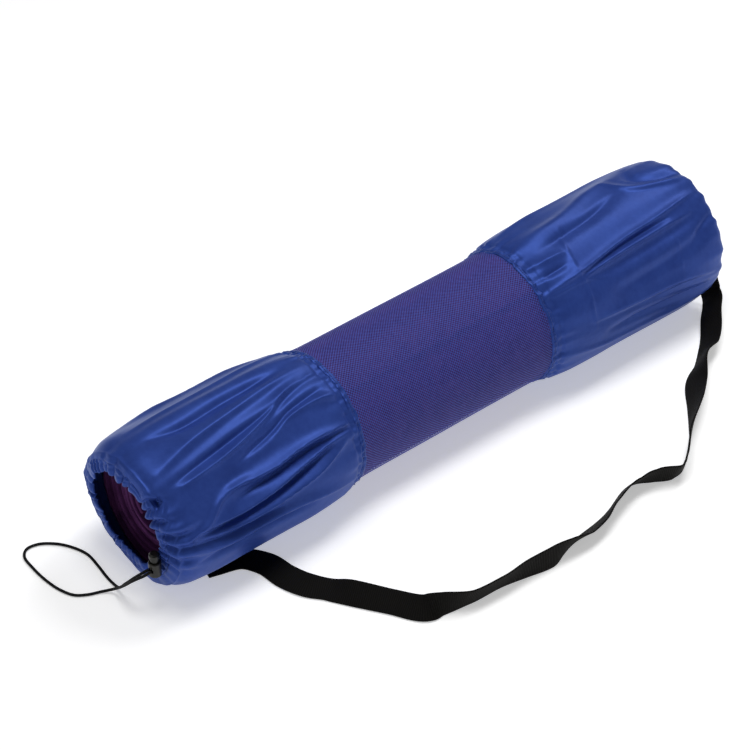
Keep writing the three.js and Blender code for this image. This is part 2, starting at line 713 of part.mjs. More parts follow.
const lock = new THREE.Group();
const lockPlace = around(
  casingFront(LOCK_ANGLE),
  MOUTH_RADIUS + CASING_WIDTH / 3,
  LOCK_ANGLE,
  MOUTH_OFFSET,
);
lock.position.set(
  lockPlace.x - GAP - LOCK_RADIUS,
  lockPlace.y,
  lockPlace.z - LOCK_LENGTH / 2 - PRESS_STROKE,
);
lock.add(
  piece('cord_lock_barrel', await lockBarrel(), finish(LOCK_OLIVE, 0.4)),
  piece('cord_lock_plunger', lockPlunger(), finish(LOCK_OLIVE, 0.4)),
);
bag.add(lock);

// The origin goes under the middle of everything but the free cord.
bag.updateMatrixWorld(true);
const extent = new THREE.Box3().setFromObject(bag, true);
const middle = extent.getCenter(new THREE.Vector3());
bag.position.set(-middle.x, -middle.y, 0);
bag.add(piece('drawcord', drawcord(), finish(WEBBING_BLACK, 0.8)));

const part = new THREE.Group();
part.add(bag);
export default part;
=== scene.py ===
"""Looks of a gathered bag with a rolled exercise mat in it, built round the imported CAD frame.

The bag lies on its side: two gathered nylon sleeves, a net between them, a ruffled drawstring mouth
at -X, a closed end at +X and a webbing strap in front. Metres, +Z up, in the CAD frame. Angles
round the bag are in degrees: 0 is the top, 90 the strap's side (-Y), 180 the underside.
"""

import logging
import math
import random
from collections.abc import Callable, Iterable, Mapping, Sequence
from dataclasses import dataclass
from enum import Enum

import bmesh
import bpy
import numpy as np
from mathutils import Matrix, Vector


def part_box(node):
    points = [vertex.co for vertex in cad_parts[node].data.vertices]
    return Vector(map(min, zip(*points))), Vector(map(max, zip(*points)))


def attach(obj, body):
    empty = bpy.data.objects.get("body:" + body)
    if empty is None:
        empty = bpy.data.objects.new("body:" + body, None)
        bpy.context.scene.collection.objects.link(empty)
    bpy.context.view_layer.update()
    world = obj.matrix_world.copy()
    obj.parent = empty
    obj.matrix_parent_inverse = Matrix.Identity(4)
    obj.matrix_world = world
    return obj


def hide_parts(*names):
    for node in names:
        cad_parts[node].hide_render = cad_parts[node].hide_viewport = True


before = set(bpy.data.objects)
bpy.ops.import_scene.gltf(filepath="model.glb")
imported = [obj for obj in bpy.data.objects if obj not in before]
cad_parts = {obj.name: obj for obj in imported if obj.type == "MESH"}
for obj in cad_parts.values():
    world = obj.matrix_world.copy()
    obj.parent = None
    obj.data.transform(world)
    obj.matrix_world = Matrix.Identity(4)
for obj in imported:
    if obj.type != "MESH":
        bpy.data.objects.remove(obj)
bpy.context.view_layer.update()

LOG = logging.getLogger("bag")
MM = 0.001
Array = np.ndarray
Place = Callable[[Array, Array], Array]


class Body(Enum):
    """The body of the frame that the pieces ride on."""

    BAG = "bag"


class Slot(Enum):
    """The record's material slots that the pieces stand for."""

    NYLON = "nylon"
    MESH = "mesh"
    FOAM = "foam"
    WEBBING = "webbing"
    CORD = "cord"


class Along(Enum):
    """The way in which a sleeve runs from its seam."""

    TO_MOUTH = -1
    TO_END = 1


@dataclass(frozen=True)
class Bag:
    """Where the bag lies, worked out from the frame's boxes."""

    axis_y: float
    axis_z: float
    front_seam: float
    rear_seam: float
    end: float
    mouth_length: float = 0.205
    sleeve_radius: float = 0.075
    mesh_radius: float = 0.0679
    roll_radius: float = 0.0662
    lip_reach: float = 0.010
    rim_lean: float = 0.006
    mouth_offset: float = 0.005
    mouth_radius: float = 0.047
    casing_width: float = 0.015

    @classmethod
    def from_frame(cls) -> "Bag":
        """Read the places off the CAD nodes.

        Returns:
            The bag's places in the CAD frame.
        """
        low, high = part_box("mesh_sleeve")
        seams = [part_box(name) for name in ("front_seam", "rear_seam")]
        front, rear = ((lo.x + hi.x) / 2 for lo, hi in seams)
        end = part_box("rear_sleeve")[1].x
        return cls((low.y + high.y) / 2, (low.z + high.z) / 2, front, rear, end)

    @property
    def rim(self) -> float:
        """The front sleeve's rim, along X."""
        return self.front_seam - self.mouth_length

    @property
    def origin(self) -> Array:
        """The point of the floor under the bag's axis, midway between rim and end."""
        return np.array([(self.rim + self.end) / 2, self.axis_y, 0.0])

    def around(self, x: Array, radius: Array, degrees: Array, centre_y: Array | float = 0.0) -> Array:
        """Points round the bag's axis.

        Args:
            x: Places along the bag.
            radius: Distances from the centre.
            degrees: Angles from the top towards the strap's side.
            centre_y: How far the centre lies behind the axis.

        Returns:
            One row of coordinates for each point.
        """
        turn = np.radians(degrees)
        y = self.axis_y + centre_y - radius * np.sin(turn)
        z = self.axis_z + radius * np.cos(turn)
        return np.stack(np.broadcast_arrays(x, y, z), axis=-1)


def eased(value: Array, low: float, high: float) -> Array:
    """A smooth step from 0 at low to 1 at high.

    Args:
        value: Where to take the step.
        low: The value that gives 0.
        high: The value that gives 1.

    Returns:
        Shares from 0 to 1.
    """
    share = np.clip((value - low) / (high - low), 0.0, 1.0)
    return share * share * (3.0 - 2.0 * share)


def wrapped(degrees: Array) -> Array:
    """Angles brought between -180 and 180 degrees."""
    return (degrees + 180.0) % 360.0 - 180.0


def round_bag(across: Array) -> Array:
    """Angles for shares of the way round, from the underside over the top and back."""
    return across * 360.0 - 180.0


def kept_above(height: Array, floor: Array | float, soft: float = 0.0012) -> Array:
    """Heights pressed flat on a floor, with a soft bend where they meet it.

    Args:
        height: Heights before.
        floor: The least height at each point.
        soft: How wide the bend is.

    Returns:
        Heights that nowhere lie under the floor.
    """
    lift = height - floor
    return floor + 0.5 * (lift + np.sqrt(lift * lift + soft * soft))


class Curve:
    """A smooth centripetal curve through points, as the CAD source draws it."""

    def __init__(self, points: Array) -> None:
        """Keep the points, with one more beyond each end."""
        self.points = np.vstack([2 * points[0] - points[1], points, 2 * points[-1] - points[-2]])
        steps = np.linalg.norm(np.diff(self.points, axis=0), axis=1)
        self.steps = np.maximum(steps, 1e-9) ** 0.5

    def at(self, share: Array) -> Array:
        """Points at shares of the curve, counted by its given points.

        Args:
            share: Places from 0 to 1.

        Returns:
            One row of coordinates for each place.
        """
        count = len(self.points) - 3
        where = np.clip(share * count, 0.0, count - 1e-9)
        index = where.astype(int)
        local = (where - index)[:, None]
        p0, p1, p2, p3 = (self.points[index + offset] for offset in range(4))
        s0, s1, s2 = (self.steps[index + offset][:, None] for offset in range(3))
        t1 = ((p1 - p0) / s0 - (p2 - p0) / (s0 + s1) + (p2 - p1) / s1) * s1
        t2 = ((p2 - p1) / s1 - (p3 - p1) / (s1 + s2) + (p3 - p2) / s2) * s1
        c2 = -3 * p1 + 3 * p2 - 2 * t1 - t2
        c3 = 2 * p1 - 2 * p2 + t1 + t2
        return p1 + t1 * local + c2 * local**2 + c3 * local**3

    def shares_by_length(self, count: int) -> Array:
        """Shares that part the curve into equal lengths.

        Args:
            count: How many places, both ends included.

        Returns:
            The shares, from 0 to 1.
        """
        fine = np.linspace(0.0, 1.0, 60 * len(self.points))
        line = self.at(fine)
        run = np.concatenate([[0.0], np.cumsum(np.linalg.norm(np.diff(line, axis=0), axis=1))])
        return np.interp(np.linspace(0.0, run[-1], count), run, fine)


class Sculptor:
    """Makes pieces from bmesh grids whose points are then moved to their places."""

    @staticmethod
    def sheet(
        name: str,
        columns: int,
        rows: int,
        place: Place,
        closed: bool = True,
        solid: bool = False,
        turned: bool = False,
    ) -> bpy.types.Object:
        """A sheet from a grid, with its own UV map from 0 to 1 both ways.

        Args:
            name: The piece's name.
            columns: Faces across, which go round where the sheet is closed.
            rows: Faces along.
            place: Gives the points for shares across and along.
            closed: Whether the first and last columns meet.
            solid: Whether its faces are then turned to point out of it.
            turned: Whether its faces are flipped.

        Returns:
            The new piece.
        """
        mesh = bmesh.new()
        bmesh.ops.create_grid(mesh, x_segments=columns, y_segments=rows, size=0.5)
        layer = mesh.loops.layers.uv.new("UVMap")
        for face in mesh.faces:
            for loop in face.loops:
                loop[layer].uv = (loop.vert.co.x + 0.5, loop.vert.co.y + 0.5)
        flat = np.array([vert.co for vert in mesh.verts]) + 0.5
        for vert, spot in zip(mesh.verts, place(flat[:, 0], flat[:, 1])):
            vert.co = spot
        if closed:
            bmesh.ops.remove_doubles(mesh, verts=mesh.verts, dist=1e-6)
        if solid:
            bmesh.ops.recalc_face_normals(mesh, faces=mesh.faces)
        if turned:
            bmesh.ops.reverse_faces(mesh, faces=mesh.faces)
        return Sculptor.piece(name, mesh)

    @staticmethod
    def piece(name: str, mesh: bmesh.types.BMesh, smooth: bool = True) -> bpy.types.Object:
        """An object made of a bmesh, which is freed.

        Args:
            name: The piece's name.
            mesh: What it is made of.
            smooth: Whether its faces are shaded smooth.

        Returns:
            The new object, at the origin.
        """
        data = bpy.data.meshes.new(name)
        mesh.to_mesh(data)
        mesh.free()
        data.shade_smooth() if smooth else data.shade_flat()
        made = bpy.data.objects.new(name, data)
        bpy.context.scene.collection.objects.link(made)
        return made

    @staticmethod
    def thicken(piece: bpy.types.Object, thickness: float) -> None:
        """Give a sheet a wall behind its outer face.

        Args:
            piece: The sheet.
            thickness: The wall in metres.
        """
        wall = piece.modifiers.new("Wall", "SOLIDIFY")
        wall.thickness = thickness
        wall.offset = -1.0
        wall.use_even_offset = False

    @staticmethod
    def turn_out(piece: bpy.types.Object, centre: Vector) -> None:
        """Flip a sheet whose faces look at a centre line along X.

        Args:
            piece: The sheet.
            centre: A point of the line.
        """
        facing = 0.0
        for face in piece.data.polygons:
            away = face.center - centre
            facing += face.area * (face.normal.y * away.y + face.normal.z * away.z)
        if facing < 0.0:
            piece.data.flip_normals()


# Shaders


class Signal:
    """A number in a shader that Python expressions can be made of."""

    def __init__(self, tree: "ShaderTree", socket: bpy.types.NodeSocket) -> None:
        """Wrap one output socket."""
        self.tree = tree
        self.socket = socket

    def math(self, operation: str, *others: "Signal | float") -> "Signal":
        """The result of a Math node on this number and others.

        Args:
            operation: The node's operation.
            others: What follows this number in the node.

        Returns:
            The node's result.
        """
        inputs = dict(enumerate([self, *others]))
        return self.tree.value("ShaderNodeMath", {"operation": operation}, inputs)

    def __add__(self, other: "Signal | float") -> "Signal":
        """This number and another."""
        return self.math("ADD", other)

    __radd__ = __add__

    def __mul__(self, other: "Signal | float") -> "Signal":
        """This number times another."""
        return self.math("MULTIPLY", other)

    __rmul__ = __mul__

    def __sub__(self, other: "Signal | float") -> "Signal":
        """This number less another."""
        return self.math("SUBTRACT", other)

    def __rsub__(self, other: float) -> "Signal":
        """A number less this one."""
        return (self * -1.0) + other

    def __truediv__(self, other: "Signal | float") -> "Signal":
        """This number over another."""
        return self.math("DIVIDE", other)

    def __pow__(self, other: float) -> "Signal":
        """This number to a power."""
        return self.math("POWER", other)

    def wave(self) -> "Signal":
        """The sine of this number, brought between 0 and 1."""
        return self.math("SINE") * 0.5 + 0.5

    def stepped(self, low: float, high: float) -> "Signal":
        """A smooth step of this number.

        Args:
            low: The value that gives 0.
            high: The value that gives 1.

        Returns:
            A number from 0 to 1.
        """
        settings = {"interpolation_type": "SMOOTHSTEP"}
        sockets = {"Value": self, "From Min": low, "From Max": high}
        return self.tree.value("ShaderNodeMapRange", settings, sockets)


class ShaderTree:
    """One material's nodes."""

    def __init__(self, name: str) -> None:
        """Start a material with an empty Principled shader."""
        self.material = bpy.data.materials.new(name)
        self.material.use_nodes = True
        self.nodes = self.material.node_tree.nodes
        self.links = self.material.node_tree.links
        self.surface = self.nodes["Principled BSDF"]

    def node(
        self,
        kind: str,
        settings: Mapping[str, object] | None = None,
        sockets: Mapping[str | int, object] | None = None,
    ) -> bpy.types.Node:
        """Add a node.

        Args:
            kind: The node's type.
            settings: Its properties, set before the sockets.
            sockets: Values or links of its inputs, by name or number.

        Returns:
            The new node.
        """
        made = self.nodes.new(kind)
        for name, value in (settings or {}).items():
            if name == "stops":
                self.set_stops(made, value)
            else:
                setattr(made, name, value)
        for name, value in (sockets or {}).items():
            self.feed(made.inputs[name], value)
        return made

    def feed(self, socket: bpy.types.NodeSocket, value: object) -> None:
        """Link or set one input.

        Args:
            socket: The input.
            value: A signal, an output socket or a plain value.
        """
        if isinstance(value, Signal):
            value = value.socket
        if isinstance(value, bpy.types.NodeSocket):
            self.links.new(value, socket)
        else:
            socket.default_value = value

    def value(
        self,
        kind: str,
        settings: Mapping[str, object] | None = None,
        sockets: Mapping[str | int, object] | None = None,
        output: str | int = 0,
    ) -> Signal:
        """The output of a new node as a number.

        Args:
            kind: The node's type.
            settings: Its properties.
            sockets: Values or links of its inputs.
            output: Which of its outputs.

        Returns:
            The output, ready for expressions.
        """
        return Signal(self, self.node(kind, settings, sockets).outputs[output])

    @staticmethod
    def set_stops(ramp: bpy.types.Node, stops: Sequence[tuple[float, Sequence[float]]]) -> None:
        """Give a colour ramp its stops.

        Args:
            ramp: The ramp's node.
            stops: Place and colour of each.
        """
        elements = ramp.color_ramp.elements
        while len(elements) < len(stops):
            elements.new(0.5)
        for element, (place, colour) in zip(elements, stops):
            element.position = place
            element.color = (*colour, 1.0)

    def coordinates(self, scale: Sequence[float], by_uv: bool = True) -> bpy.types.NodeSocket:
        """Texture coordinates, scaled.

        Args:
            scale: Factor on each axis.
            by_uv: Whether they are the piece's own UV map, and not its Object coordinates.

        Returns:
            The scaled vector.
        """
        source = self.node("ShaderNodeTexCoord").outputs["UV" if by_uv else "Object"]
        sockets = {"Vector": source, "Scale": tuple(scale)}
        return self.node("ShaderNodeMapping", None, sockets).outputs["Vector"]

    def axes(self, vector: bpy.types.NodeSocket) -> tuple[Signal, Signal, Signal]:
        """The three numbers of a vector."""
        parts = self.node("ShaderNodeSeparateXYZ", None, {0: vector}).outputs
        return tuple(Signal(self, part) for part in parts)

    def noise(
        self, vector: bpy.types.NodeSocket, scale: float, detail: float = 2.0, rough: float = 0.5
    ) -> Signal:
        """Cloudy noise from 0 to 1.

        Args:
            vector: Where it is read.
            scale: Clouds to the unit.
            detail: Finer layers.
            rough: How strong they are.

        Returns:
            The noise's value.
        """
        sockets = {"Vector": vector, "Scale": scale, "Detail": detail, "Roughness": rough}
        return self.value("ShaderNodeTexNoise", None, sockets)

    def mix(self, share: Signal | float, first: object, second: object) -> bpy.types.NodeSocket:
        """A colour between two.

        Args:
            share: How much of the second.
            first: A colour or a colour's socket.
            second: Another.

        Returns:
            The mixed colour.
        """
        colours = [(*c, 1.0) if isinstance(c, tuple) else c for c in (first, second)]
        made = self.node("ShaderNodeMix", {"data_type": "RGBA"}, {"Factor": share})
        self.feed(made.inputs[6], colours[0])
        self.feed(made.inputs[7], colours[1])
        return made.outputs[2]

    def bump(self, height: Signal, distance: float, strength: float = 1.0) -> None:
        """Shade the surface as if it had this relief.

        Args:
            height: The relief, from 0 to 1.
            distance: What 1 is in metres.
            strength: How much of it shows.
        """
        sockets = {"Height": height, "Distance": distance, "Strength": strength}
        self.feed(self.surface.inputs["Normal"], self.node("ShaderNodeBump", None, sockets).outputs[0])

    def set_surface(self, **values: object) -> bpy.types.Material:
        """Set or link inputs of the Principled shader.

        Args:
            values: Inputs by name, with _ for a blank.

        Returns:
            The material.
        """
        for name, value in values.items():
            self.feed(self.surface.inputs[name.replace("_", " ")], value)
        return self.material


Colour = tuple[float, float, float]


@dataclass(frozen=True)
class NylonFinish:
    """Thin satin nylon: a fine plain weave with slack, crinkled patches."""

    size: tuple[float, float]
    deep: Colour = (0.0260, 0.0570, 0.275)
    light: Colour = (0.0340, 0.0740, 0.335)
    weave: float = 0.0007
    roughness: float = 0.39

    def make(self, name: str) -> bpy.types.Material:
        """Build the material.

        Args:
            name: Its name.

        Returns:
            The material, which reads the piece's UV map.
        """
        tree = ShaderTree(name)
        across, along = self.size
        metric = tree.coordinates((across, along, 1.0))
        u, v, _ = tree.axes(metric)
        turns = 2 * math.pi / self.weave
        weave = (u * turns).wave() * (v * turns).wave()
        slack = tree.noise(metric, 42.0, 2.0, 0.45)
        crinkle = tree.noise(metric, 190.0, 2.0, 0.5)
        shade = (slack * 0.6 + crinkle * 0.4).stepped(0.25, 0.75)
        height = weave * 0.05 + slack * 0.55 + crinkle * 0.08
        tree.bump(height, 0.0009, 0.3)
        return tree.set_surface(
            Base_Color=tree.mix(shade, self.deep, self.light),
            Roughness=slack * 0.12 + (self.roughness - 0.06),
            Metallic=0.26,
            Specular_IOR_Level=0.22,
            Specular_Tint=(0.35, 0.55, 1.0, 1.0),
        )


@dataclass(frozen=True)
class NetFinish:
    """Knitted yarn of the net, a little violet, with brighter loops and painted glints on a grid of knots."""

    cells: tuple[float, float]
    deep: Colour = (0.036, 0.043, 0.265)
    light: Colour = (0.088, 0.104, 0.500)

    def make(self, name: str) -> bpy.types.Material:
        """Build the material.

        Args:
            name: Its name.

        Returns:
            The material, which reads the piece's UV map.
        """
        tree = ShaderTree(name)
        u, v, _ = tree.axes(tree.coordinates((*self.cells, 1.0)))
        turn = 2 * math.pi
        loops = ((u + v) * turn * 3).wave() * ((u - v) * turn * 3).wave()
        # Painted highlights: small bright dots in a regular grid in the yarn's colour, standing in for glints
        # of light on the knots.
        knot_glints = ((u * turn).math("COSINE") * (v * turn).math("COSINE")).stepped(0.55, 0.95)
        cloudy = tree.noise(tree.coordinates((1.0, 1.0, 1.0), by_uv=False), 320.0, 2.0)
        shade = (loops * 0.35 + cloudy * 0.45 + knot_glints * 0.35).stepped(0.15, 0.85)
        tree.bump(loops * 0.5 + cloudy * 0.3, 0.0004, 0.6)
        return tree.set_surface(
            Base_Color=tree.mix(shade, self.deep, self.light),
            Roughness=0.72 - shade * 0.2,
            Sheen_Weight=0.05,
            Sheen_Roughness=0.5,
            Sheen_Tint=(0.4, 0.45, 1.0, 1.0),
            Specular_IOR_Level=0.3,
        )


@dataclass(frozen=True)
class FoamFinish:
    """Closed-cell foam of the mat: matt, finely pitted, paler in worn patches."""

    deep: Colour = (0.070, 0.015, 0.084)
    light: Colour = (0.115, 0.028, 0.132)

    def make(self, name: str) -> bpy.types.Material:
        """Build the material.

        Args:
            name: Its name.

        Returns:
            The material, which reads Object coordinates.
        """
        tree = ShaderTree(name)
        place = tree.coordinates((1.0, 1.0, 1.0), by_uv=False)
        cells = tree.value(
            "ShaderNodeTexVoronoi", {"feature": "F1"}, {"Vector": place, "Scale": 900.0}
        )
        worn = tree.noise(place, 60.0, 4.0, 0.6)
        fine = tree.noise(place, 700.0, 2.0)
        shade = (worn * 0.7 + fine * 0.3).stepped(0.35, 0.68)
        tree.bump(cells * 0.5 + worn * 0.5, 0.0006, 0.5)
        return tree.set_surface(
            Base_Color=tree.mix(shade, self.deep, self.light),
            Roughness=0.78 + fine * 0.15,
            Specular_IOR_Level=0.2,
        )


@dataclass(frozen=True)
class WebbingFinish:
    """Woven webbing: ribs across it, two selvedges and a few rubbed yarns."""

    size: tuple[float, float]
    deep: Colour = (0.0012, 0.0010, 0.0008)
    light: Colour = (0.0068, 0.0060, 0.0050)
    rib: float = 0.0019
    yarn: float = 0.0012

    def make(self, name: str) -> bpy.types.Material:
        """Build the material.

        Args:
            name: Its name.

        Returns:
            The material, which reads the piece's UV map.
        """
        tree = ShaderTree(name)
        metric = tree.coordinates((*self.size, 1.0))
        u, v, _ = tree.axes(metric)
        turn = 2 * math.pi
        ribs = (v * (turn / self.rib)).wave()
        yarns = (u * (turn / self.yarn)).wave()
        rubbed = tree.noise(metric, 260.0, 3.0, 0.6)
        shade = (ribs * 0.45 + yarns * 0.2 + rubbed * 0.55).stepped(0.25, 0.95)
        tree.bump(ribs * 0.7 + yarns * ribs * 0.3, 0.0005, 0.7)
        return tree.set_surface(
            Base_Color=tree.mix(shade, self.deep, self.light),
            Roughness=0.66 + rubbed * 0.2,
            Specular_IOR_Level=0.12,
        )


@dataclass(frozen=True)
class CordFinish:
    """Braided cord: yarns crossing on the diagonal."""

    turns: tuple[float, float]
    deep: Colour = (0.0015, 0.0015, 0.0018)
    light: Colour = (0.011, 0.011, 0.012)

    def make(self, name: str) -> bpy.types.Material:
        """Build the material.

        Args:
            name: Its name.

        Returns:
            The material, which reads the piece's UV map.
        """
        tree = ShaderTree(name)
        u, v, _ = tree.axes(tree.coordinates((*self.turns, 1.0)))
        turn = 2 * math.pi
        braid = ((u + v) * turn).wave() * 0.5 + ((u - v) * turn).wave() * 0.5
        tree.bump(braid, 0.0003, 0.8)
        return tree.set_surface(
            Base_Color=tree.mix(braid.stepped(0.2, 0.9), self.deep, self.light),
            Roughness=0.75 - braid * 0.15,
            Specular_IOR_Level=0.15,
        )


@dataclass(frozen=True)
class PlasticFinish:
    """Moulded plastic with a fine grain and handled spots."""

    deep: Colour = (0.0045, 0.004, 0.0028)
    light: Colour = (0.016, 0.014, 0.010)
    roughness: float = 0.34

    def make(self, name: str) -> bpy.types.Material:
        """Build the material.

        Args:
            name: Its name.

        Returns:
            The material, which reads Object coordinates.
        """
        tree = ShaderTree(name)
        place = tree.coordinates((1.0, 1.0, 1.0), by_uv=False)
        grain = tree.noise(place, 2400.0, 2.0)
        handled = tree.noise(place, 160.0, 2.0)
        tree.bump(grain, 0.0001, 0.35)
        return tree.set_surface(
            Base_Color=tree.mix(handled.stepped(0.3, 0.75), self.deep, self.light),
            Roughness=handled * 0.2 + (self.roughness - 0.1),
            Specular_IOR_Level=0.35,
        )


@dataclass(frozen=True)
class ThreadFinish:
    """Sewing thread, twisted."""

    deep: Colour = (0.010, 0.026, 0.17)
    light: Colour = (0.03, 0.075, 0.36)

    def make(self, name: str) -> bpy.types.Material:
        """Build the material.

        Args:
            name: Its name.

        Returns:
            The material, which reads Object coordinates.
        """
        tree = ShaderTree(name)
        place = tree.coordinates((1.0, 1.0, 1.0), by_uv=False)
        x, y, z = tree.axes(place)
        twist = ((x + y + z) * 9000.0).wave()
        tree.bump(twist, 0.0001, 0.6)
        return tree.set_surface(
            Base_Color=tree.mix(twist, self.deep, self.light), Roughness=0.5 + twist * 0.1
        )


def dress(
    piece: bpy.types.Object, material: bpy.types.Material, replaced: str | None = None
) -> None:
    """Give a piece its material and its body, and hide the CAD node it replaces.

    Args:
        piece: The piece.
        material: Its finish.
        replaced: The soft CAD node that it stands in for, if any.
    """
    piece.data.materials.clear()
    piece.data.materials.append(material)
    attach(piece, Body.BAG.value)
    if replaced is not None:
        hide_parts(replaced)


# Cloth forms


@dataclass(frozen=True)
class Fold:
    """A ridge or trough that runs over a sleeve along a path.

    The path's places are (share of the sleeve's length from its seam, angle round the bag). Spread
    is the half width and rise the height, as shares of the sleeve's radius. Peak shapes the
    section: 2 is soft, 1 a sharp crease. Lean makes one flank steeper: at 0.5 the flank at the
    greater angles has half the width.
    """

    path: tuple[tuple[float, float], ...]
    spread: float
    rise: float
    peak: float = 2.0
    lean: float = 0.0

    def lift(self, along: Array, degrees: Array, length: float, radius: float) -> Array:
        """How far it lifts the cloth.

        Args:
            along: Shares of the sleeve's length.
            degrees: Angles round the bag.
            length: The sleeve's length.
            radius: The sleeve's radius.

        Returns:
            Lifts in metres.
        """
        arc = math.radians(1.0) * radius
        stretches = self.stretches(length, arc)
        legs = [self.leg(first, last, along, degrees, length, arc) for first, last in stretches]
        sizes = [math.hypot((b[0] - a[0]) * length, (b[1] - a[1]) * arc) for a, b in stretches]
        nearest = np.full(np.broadcast(along, degrees).shape, np.inf)
        side, place = np.zeros_like(nearest), np.zeros_like(nearest)
        run = 0.0
        for (away, beyond, share), size in zip(legs, sizes):
            closer = away < nearest
            nearest = np.where(closer, away, nearest)
            side = np.where(closer, beyond, side)
            place = np.where(closer, run + share * size, place)
            run += size
        width = self.spread * radius * (1.0 - self.lean * np.tanh(side / (0.3 * self.spread * radius)))
        tips = eased(np.minimum(place, run - place), -0.15 * run, 0.28 * run)
        return self.rise * radius * np.exp(-((nearest / width) ** self.peak)) * tips

    def stretches(self, length: float, arc: float, parts: int = 4) -> list[tuple[Array, Array]]:
        """The short straight stretches of its path, rounded at the given places.

        Args:
            length: The sleeve's length.
            arc: One degree's length round the sleeve.
            parts: How many stretches lie between two given places.

        Returns:
            Both ends of each stretch, given as the path is.
        """
        scale = np.array([length, arc, 1.0])
        given = np.array([(along, at, 0.0) for along, at in self.path]) * scale
        count = parts * (len(given) - 1) + 1 if len(given) > 2 else 2
        places = Curve(given).at(np.linspace(0.0, 1.0, count)) / scale
        return list(zip(places[:-1, :2], places[1:, :2]))

    @staticmethod
    def leg(
        first: Array,
        last: Array,
        along: Array,
        degrees: Array,
        length: float,
        arc: float,
    ) -> tuple[Array, Array, Array]:
        """How points lie from one straight stretch.

        Args:
            first: Where it starts.
            last: Where it ends.
            along: Shares of the sleeve's length.
            degrees: Angles round the bag.
            length: The sleeve's length.
            arc: One degree's length round the sleeve.

        Returns:
            Distance from it, how far they lie towards the greater angles, and share along it.
        """
        run = np.array([(last[0] - first[0]) * length, (last[1] - first[1]) * arc])
        x = (along - first[0]) * length
        y = wrapped(degrees - first[1]) * arc
        share = np.clip((x * run[0] + y * run[1]) / (run @ run), 0.0, 1.0)
        return np.hypot(x - share * run[0], y - share * run[1]), y - share * run[1], share


class Gathers:
    """Bumps round a drawn-in edge, each with its own place, depth, width and reach."""

    def __init__(
        self,
        count: int,
        depth: float,
        reach: float,
        seed: int,
        extra: Iterable[tuple[float, float, float, float]] = (),
    ) -> None:
        """Draw the bumps.

        Args:
            count: How many go round.
            depth: Their usual depth.
            reach: How far along the cloth they usually run.
            seed: For the random draws.
            extra: More bumps, as angle, depth, half width in degrees and reach.
        """
        draw = random.Random(seed)
        pitch = 360.0 / count
        self.bumps = [
            (
                (index + draw.uniform(-0.32, 0.32)) * pitch,
                depth * draw.choice((1.0, -0.9)) * draw.uniform(0.45, 1.25),
                pitch * draw.uniform(0.28, 0.5),
                reach * draw.uniform(0.45, 1.6),
            )
            for index in range(count)
        ] + list(extra)

    def lift(self, degrees: Array, distance: Array) -> Array:
        """How far they lift the cloth.

        Args:
            degrees: Angles round the bag.
            distance: How far each point lies from the drawn-in edge.

        Returns:
            Lifts in metres.
        """
        total = np.zeros(np.broadcast(degrees, distance).shape)
        for at, depth, width, reach in self.bumps:
            near = wrapped(degrees - at)
            keep = np.abs(near) < 4 * width * 2.2
            spread = width * (1.0 + 0.9 * distance[keep] / max(reach, 1e-6))
            fade = np.exp(-distance[keep] / reach)
            total[keep] += depth * np.exp(-((near[keep] / spread) ** 2)) * fade
        return total


@dataclass(frozen=True)
class Scallops:
    """Rounded lobes round a drawn-in hem, with narrow notches between them."""

    count: int
    drift: float
    phase: float

    def rise(self, degrees: Array) -> Array:
        """How far each point is up a lobe.

        Args:
            degrees: Angles round the bag.

        Returns:
            Shares from 0 in the notches to 1 on top of a lobe.
        """
        turn = np.radians(degrees)
        waves = ((3, 1.0, 0.4), (5, 0.7, 1.9), (8, 0.55, 4.1), (13, 0.35, 2.6))
        drift = sum(size * np.sin(n * turn + start + self.phase) for n, size, start in waves)
        return np.abs(np.sin(0.5 * self.count * turn + self.drift * drift)) ** 0.6


class Ripples:
    """Soft uneven waves that close round the bag."""

    def __init__(self, depth: float, seed: int, around: tuple[int, int], along: float) -> None:
        """Draw the waves.

        Args:
            depth: Their height together.
            seed: For the random draws.
            around: Fewest and most waves round the bag.
            along: Most waves along the piece.
        """
        draw = random.Random(seed)
        self.depth = depth
        self.waves = [
            (draw.randint(*around), draw.uniform(-along, along), draw.uniform(0, 2 * math.pi))
            for _ in range(7)
        ]

    def lift(self, degrees: Array, along: Array) -> Array:
        """How far they lift the cloth.

        Args:
            degrees: Angles round the bag.
            along: Shares of the piece's length.

        Returns:
            Lifts in metres.
        """
        turn = np.radians(degrees)
        total = sum(np.sin(n * turn + k * 2 * math.pi * along + p) for n, k, p in self.waves)
        return self.depth * total / len(self.waves) ** 0.5


class Profile:
    """A line of (distance along the bag, radius) that a sleeve is turned from."""

    def __init__(self, points: Sequence[tuple[float, float]]) -> None:
        """Keep the line, parted by its length."""
        line = Curve(np.array([(x, r, 0.0) for x, r in points]))
        shares = line.shares_by_length(600)
        self.spots = line.at(shares)[:, :2]
        run = np.gradient(self.spots, axis=0)
        self.normals = np.stack([-run[:, 1], run[:, 0]], axis=1)
        self.normals /= np.linalg.norm(self.normals, axis=1)[:, None]
        steps = np.linalg.norm(np.diff(self.spots, axis=0), axis=1)
        self.run = np.concatenate([[0.0], np.cumsum(steps)])

    def at(self, share: Array) -> tuple[Array, Array, Array, Array]:
        """Places on the line.

        Args:
            share: Shares of its length.

        Returns:
            Distance along the bag, radius, and the two parts of the outward normal.
        """
        where = np.linspace(0.0, 1.0, len(self.spots))
        columns = [self.spots[:, 0], self.spots[:, 1], self.normals[:, 0], self.normals[:, 1]]
        x, r, nx, nr = (np.interp(share, where, column) for column in columns)
        return x, r, nx, nr

    @property
    def length(self) -> float:
        """The line's length."""
        return float(self.run[-1])


